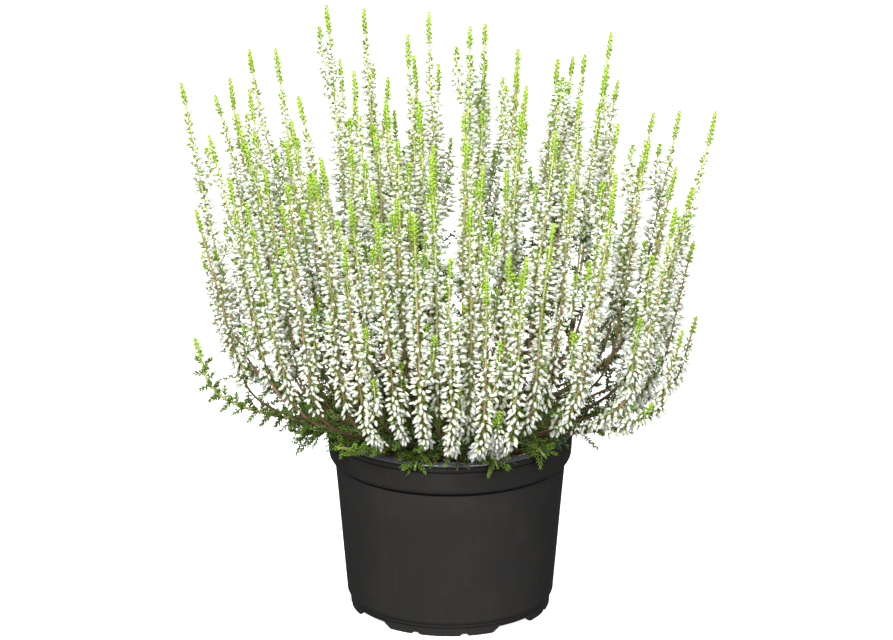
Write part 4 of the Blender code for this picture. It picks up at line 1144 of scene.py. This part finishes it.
def foot_clearance(turns):
    """How high the pot's foot ring stands off the ground at these turns: wide gaps with sloped ends between
    the feet, and two small notches in each foot."""
    step = 2 * math.pi / FOOT_COUNT
    from_gap = np.abs((turns - FIRST_GAP_AZIMUTH + step / 2) % step - step / 2)
    across = from_gap * FOOT_RADIUS
    slope = (GAP_WIDTH_BELOW - GAP_WIDTH_ABOVE) / 2
    gap = GAP_HEIGHT * np.clip((GAP_WIDTH_BELOW / 2 - across) / slope, 0, 1)
    from_notch = np.abs(from_gap - (step / 2 - NOTCH_FROM_FOOT_CENTRE)) * FOOT_RADIUS
    notch = NOTCH_HEIGHT * np.clip((NOTCH_WIDTH / 2 - from_notch) / (0.3 * NOTCH_WIDTH), 0, 1)
    return np.maximum(gap, notch)


def pot_turns():
    """Turns round the pot, one every 3 degrees, with more at the feet's edges and at the lip's ticks."""
    turns = list(np.radians(np.arange(0, 360, 3)))
    step = 2 * math.pi / FOOT_COUNT
    notch = step / 2 - NOTCH_FROM_FOOT_CENTRE
    ends = NOTCH_WIDTH / FOOT_RADIUS * np.array([-0.5, -0.2, 0.2, 0.5])
    edges = [GAP_WIDTH_BELOW / 2 / FOOT_RADIUS, GAP_WIDTH_ABOVE / 2 / FOOT_RADIUS, *(notch + ends)]
    for foot in range(FOOT_COUNT):
        turns += [FIRST_GAP_AZIMUTH + foot * step + side * edge for edge in edges for side in (-1, 1)]
    for tick in range(TICK_COUNT):
        centre = 2 * math.pi * (tick + TICK_SHIFT) / TICK_COUNT
        turns += [centre + math.radians(shift) for shift in (-0.2, 0, 0.2)]
    return np.unique(np.round(np.array(turns) % (2 * math.pi), 5))


def make_pot(material):
    """The pot: a tapered cup with a collar, a ticked band and a rounded bead, on a ring cut into feet."""

    def moulded(radii, heights, turns):
        """Lifts the foot ring off the ground between the feet and raises the ticks on the lip's band."""
        low = heights < FLOOR_UNDERSIDE - 0.2 * MM
        heights = np.where(low, np.maximum(heights, foot_clearance(turns)), heights)
        tick = np.abs((turns * TICK_COUNT / (2 * math.pi) - TICK_SHIFT + 0.5) % 1 - 0.5) * 360 / TICK_COUNT
        band = (heights > LIP_UNDERSIDE + 0.1 * MM) & (heights < BEAD_UNDERSIDE - 0.4 * MM)
        return radii + TICK_DEPTH * band * (radii > 60 * MM) * (tick < 0.1), heights

    points, faces = turned_grid(pot_profile(), pot_turns(), moulded)
    pot = mesh_object("moulded_pot", points, faces)
    pot.data.materials.append(material)
    cutters = [drain_cutter(0, 0)]
    for foot in range(FOOT_COUNT):
        turn = FIRST_GAP_AZIMUTH + 2 * math.pi * foot / FOOT_COUNT
        cutters.append(drain_cutter(DRAIN_RING * math.sin(turn), -DRAIN_RING * math.cos(turn)))
    for cutter in cutters:
        hole = pot.modifiers.new("Drain", "BOOLEAN")
        hole.operation = "DIFFERENCE"
        hole.object = cutter
        hole.solver = "EXACT"
    bpy.context.view_layer.update()
    graph = bpy.context.evaluated_depsgraph_get()
    cut = bpy.data.meshes.new_from_object(pot.evaluated_get(graph))
    pot.modifiers.clear()
    pot.data = cut
    for cutter in cutters:
        bpy.data.objects.remove(cutter)
    pot.data.set_sharp_from_angle(angle=math.radians(38))
    finished(pot, "black_plastic", "pot")


def drain_cutter(x, y):
    """A round cutter through the pot's floor."""
    profile = [(0, 3 * MM), (DRAIN_RADIUS, 3 * MM), (DRAIN_RADIUS, 9 * MM), (0, 9 * MM)]
    points, faces = turned_grid(profile, np.radians(np.arange(0, 360, 12)))
    return mesh_object("drain", points + (x, y, 0), faces)


def soil_relief(x, y):
    """The uneven top of the soil: two broad swells, and for each smaller size a product of waves."""
    relief = 0.6 * np.sin(x / (9 * MM) + 1.3) * np.cos(y / (11 * MM)) + 0.3 * np.sin((x + y) / (5 * MM))
    rng = np.random.default_rng(SEED * 400)
    for size in (4.0, 2.6, 1.7, 1.1):
        turn = rng.uniform(0, 2 * math.pi, 3)
        shift = rng.uniform(0, 2 * math.pi, 3)
        across = np.multiply.outer(x, np.cos(turn)) + np.multiply.outer(y, np.sin(turn))
        waves = np.sin(across / (size * MM) + shift)
        relief = relief + 0.12 * size * waves[..., 0] * waves[..., 1] * (1 + 0.5 * waves[..., 2])
    return relief * MM


def make_soil(material):
    """The soil: a plug that fills the pot, with a crumbly top, loose crumbs and fibres."""
    top_radius = INNER_RADIUS_HIGH - SOIL_GAP
    rings = [(top_radius * (1 - i / 44), SOIL_TOP) for i in range(44)]
    profile = [
        (0, FLOOR_TOP + SOIL_GAP),
        (INNER_RADIUS_LOW - 2.6 * MM, FLOOR_TOP + SOIL_GAP),
        (INNER_RADIUS_LOW - SOIL_GAP, FLOOR_TOP + 2.6 * MM),
        (top_radius, GROOVE_HEIGHT),
        *rings,
        (0, SOIL_TOP),
    ]

    def crumbled(radii, heights, turns):
        """Gives the soil's top its relief, and lowers its edge."""
        relief = soil_relief(radii * np.sin(turns), -radii * np.cos(turns))
        edge = eased((top_radius - radii) / (3 * MM))
        top = heights == SOIL_TOP
        return radii, np.where(top, heights + relief * edge - 0.8 * MM * (1 - edge), heights)

    points, faces = turned_grid(profile, np.radians(np.arange(0, 360, 2.5)), crumbled)
    growth = Growth()
    tones = np.column_stack([points[:, 0], points[:, 1]]) / (130 * MM) + 0.5
    growth.add(points, faces, tones, 0)
    rng = np.random.default_rng(SEED * 500)
    for form, count, size, slim in (CRUMBS, FIBRES):
        reach = (top_radius - 3 * MM) * np.sqrt(rng.uniform(0.04, 1, count))
        turn = rng.uniform(0, 2 * math.pi, count)
        x, y = reach * np.cos(turn), reach * np.sin(turn)
        places = np.column_stack([x, y, SOIL_TOP + soil_relief(x, y) + 0.25 * MM])
        ways = rng.normal(0, 1, (count, 3)) * (1, 1, 0.25)
        length = size * MM * rng.uniform(0.35, 1.2, count) ** 1.5
        sizes = np.column_stack([length, length * slim * rng.uniform(0.7, 1.1, count)])
        growth.copies(form, places, ways, rng.normal(0, 1, (count, 3)), sizes, rng.uniform(0, 1, count), 0)
    finished(growth.build("crumbly_soil", [material], banded=False), "peat", "soil")


def make_camera():
    """The camera at the photograph's viewing angle."""
    camera = bpy.data.objects.new("camera", bpy.data.cameras.new("camera"))
    bpy.context.scene.collection.objects.link(camera)
    camera.location = CAMERA_PLACE
    way = Vector(CAMERA_AIM) - Vector(CAMERA_PLACE)
    camera.rotation_euler = way.to_track_quat("-Z", "Y").to_euler()
    camera.data.lens = LENS
    camera.data.sensor_width = 36
    camera.data.clip_end = 20
    bpy.context.scene.camera = camera


def make_light(name, place, size, power):
    """A soft square light that faces the plant."""
    light = bpy.data.lights.new(name, "AREA")
    light.shape = "SQUARE"
    light.size = size
    light.energy = power
    made = bpy.data.objects.new(name, light)
    bpy.context.scene.collection.objects.link(made)
    made.location = place
    made.rotation_euler = (Vector(LAMP_AIM) - Vector(place)).to_track_quat("-Z", "Y").to_euler()


def make_studio():
    """A white room: floor, even sky light and soft lamps above, in front, behind and at the side."""
    corners = FLOOR_REACH * np.array([(-1, -1, 0), (1, -1, 0), (1, 1, 0), (-1, 1, 0)], float)
    floor = mesh_object("floor", corners, np.array([[0, 1, 2, 3]]))
    floor.data.materials.append(floor_finish())
    floor.visible_diffuse = False
    floor.visible_glossy = False
    world = bpy.data.worlds.new("studio")
    bpy.context.scene.world = world
    world.use_nodes = True
    sky = world.node_tree.nodes["Background"]
    sky.inputs["Color"].default_value = (1, 1, 1, 1)
    sky.inputs["Strength"].default_value = SKY_STRENGTH
    for lamp in LAMPS:
        make_light(*lamp)
    view = bpy.context.scene.view_settings
    view.view_transform = "Standard"
    view.look = "None"
    view.exposure = 0
    view.gamma = 1


def main():
    """Makes the room, the pot, the soil and every shoot."""
    make_camera()
    make_studio()
    finishes = [petal_finish(), leaf_finish(), bark_finish()]
    make_pot(pot_finish())
    make_soil(peat_finish())
    green_sways = flower_sprays(finishes)
    leafy_shoots(finishes, green_sways)
    rim_shoots(finishes)
    rim_foliage(finishes)


main()
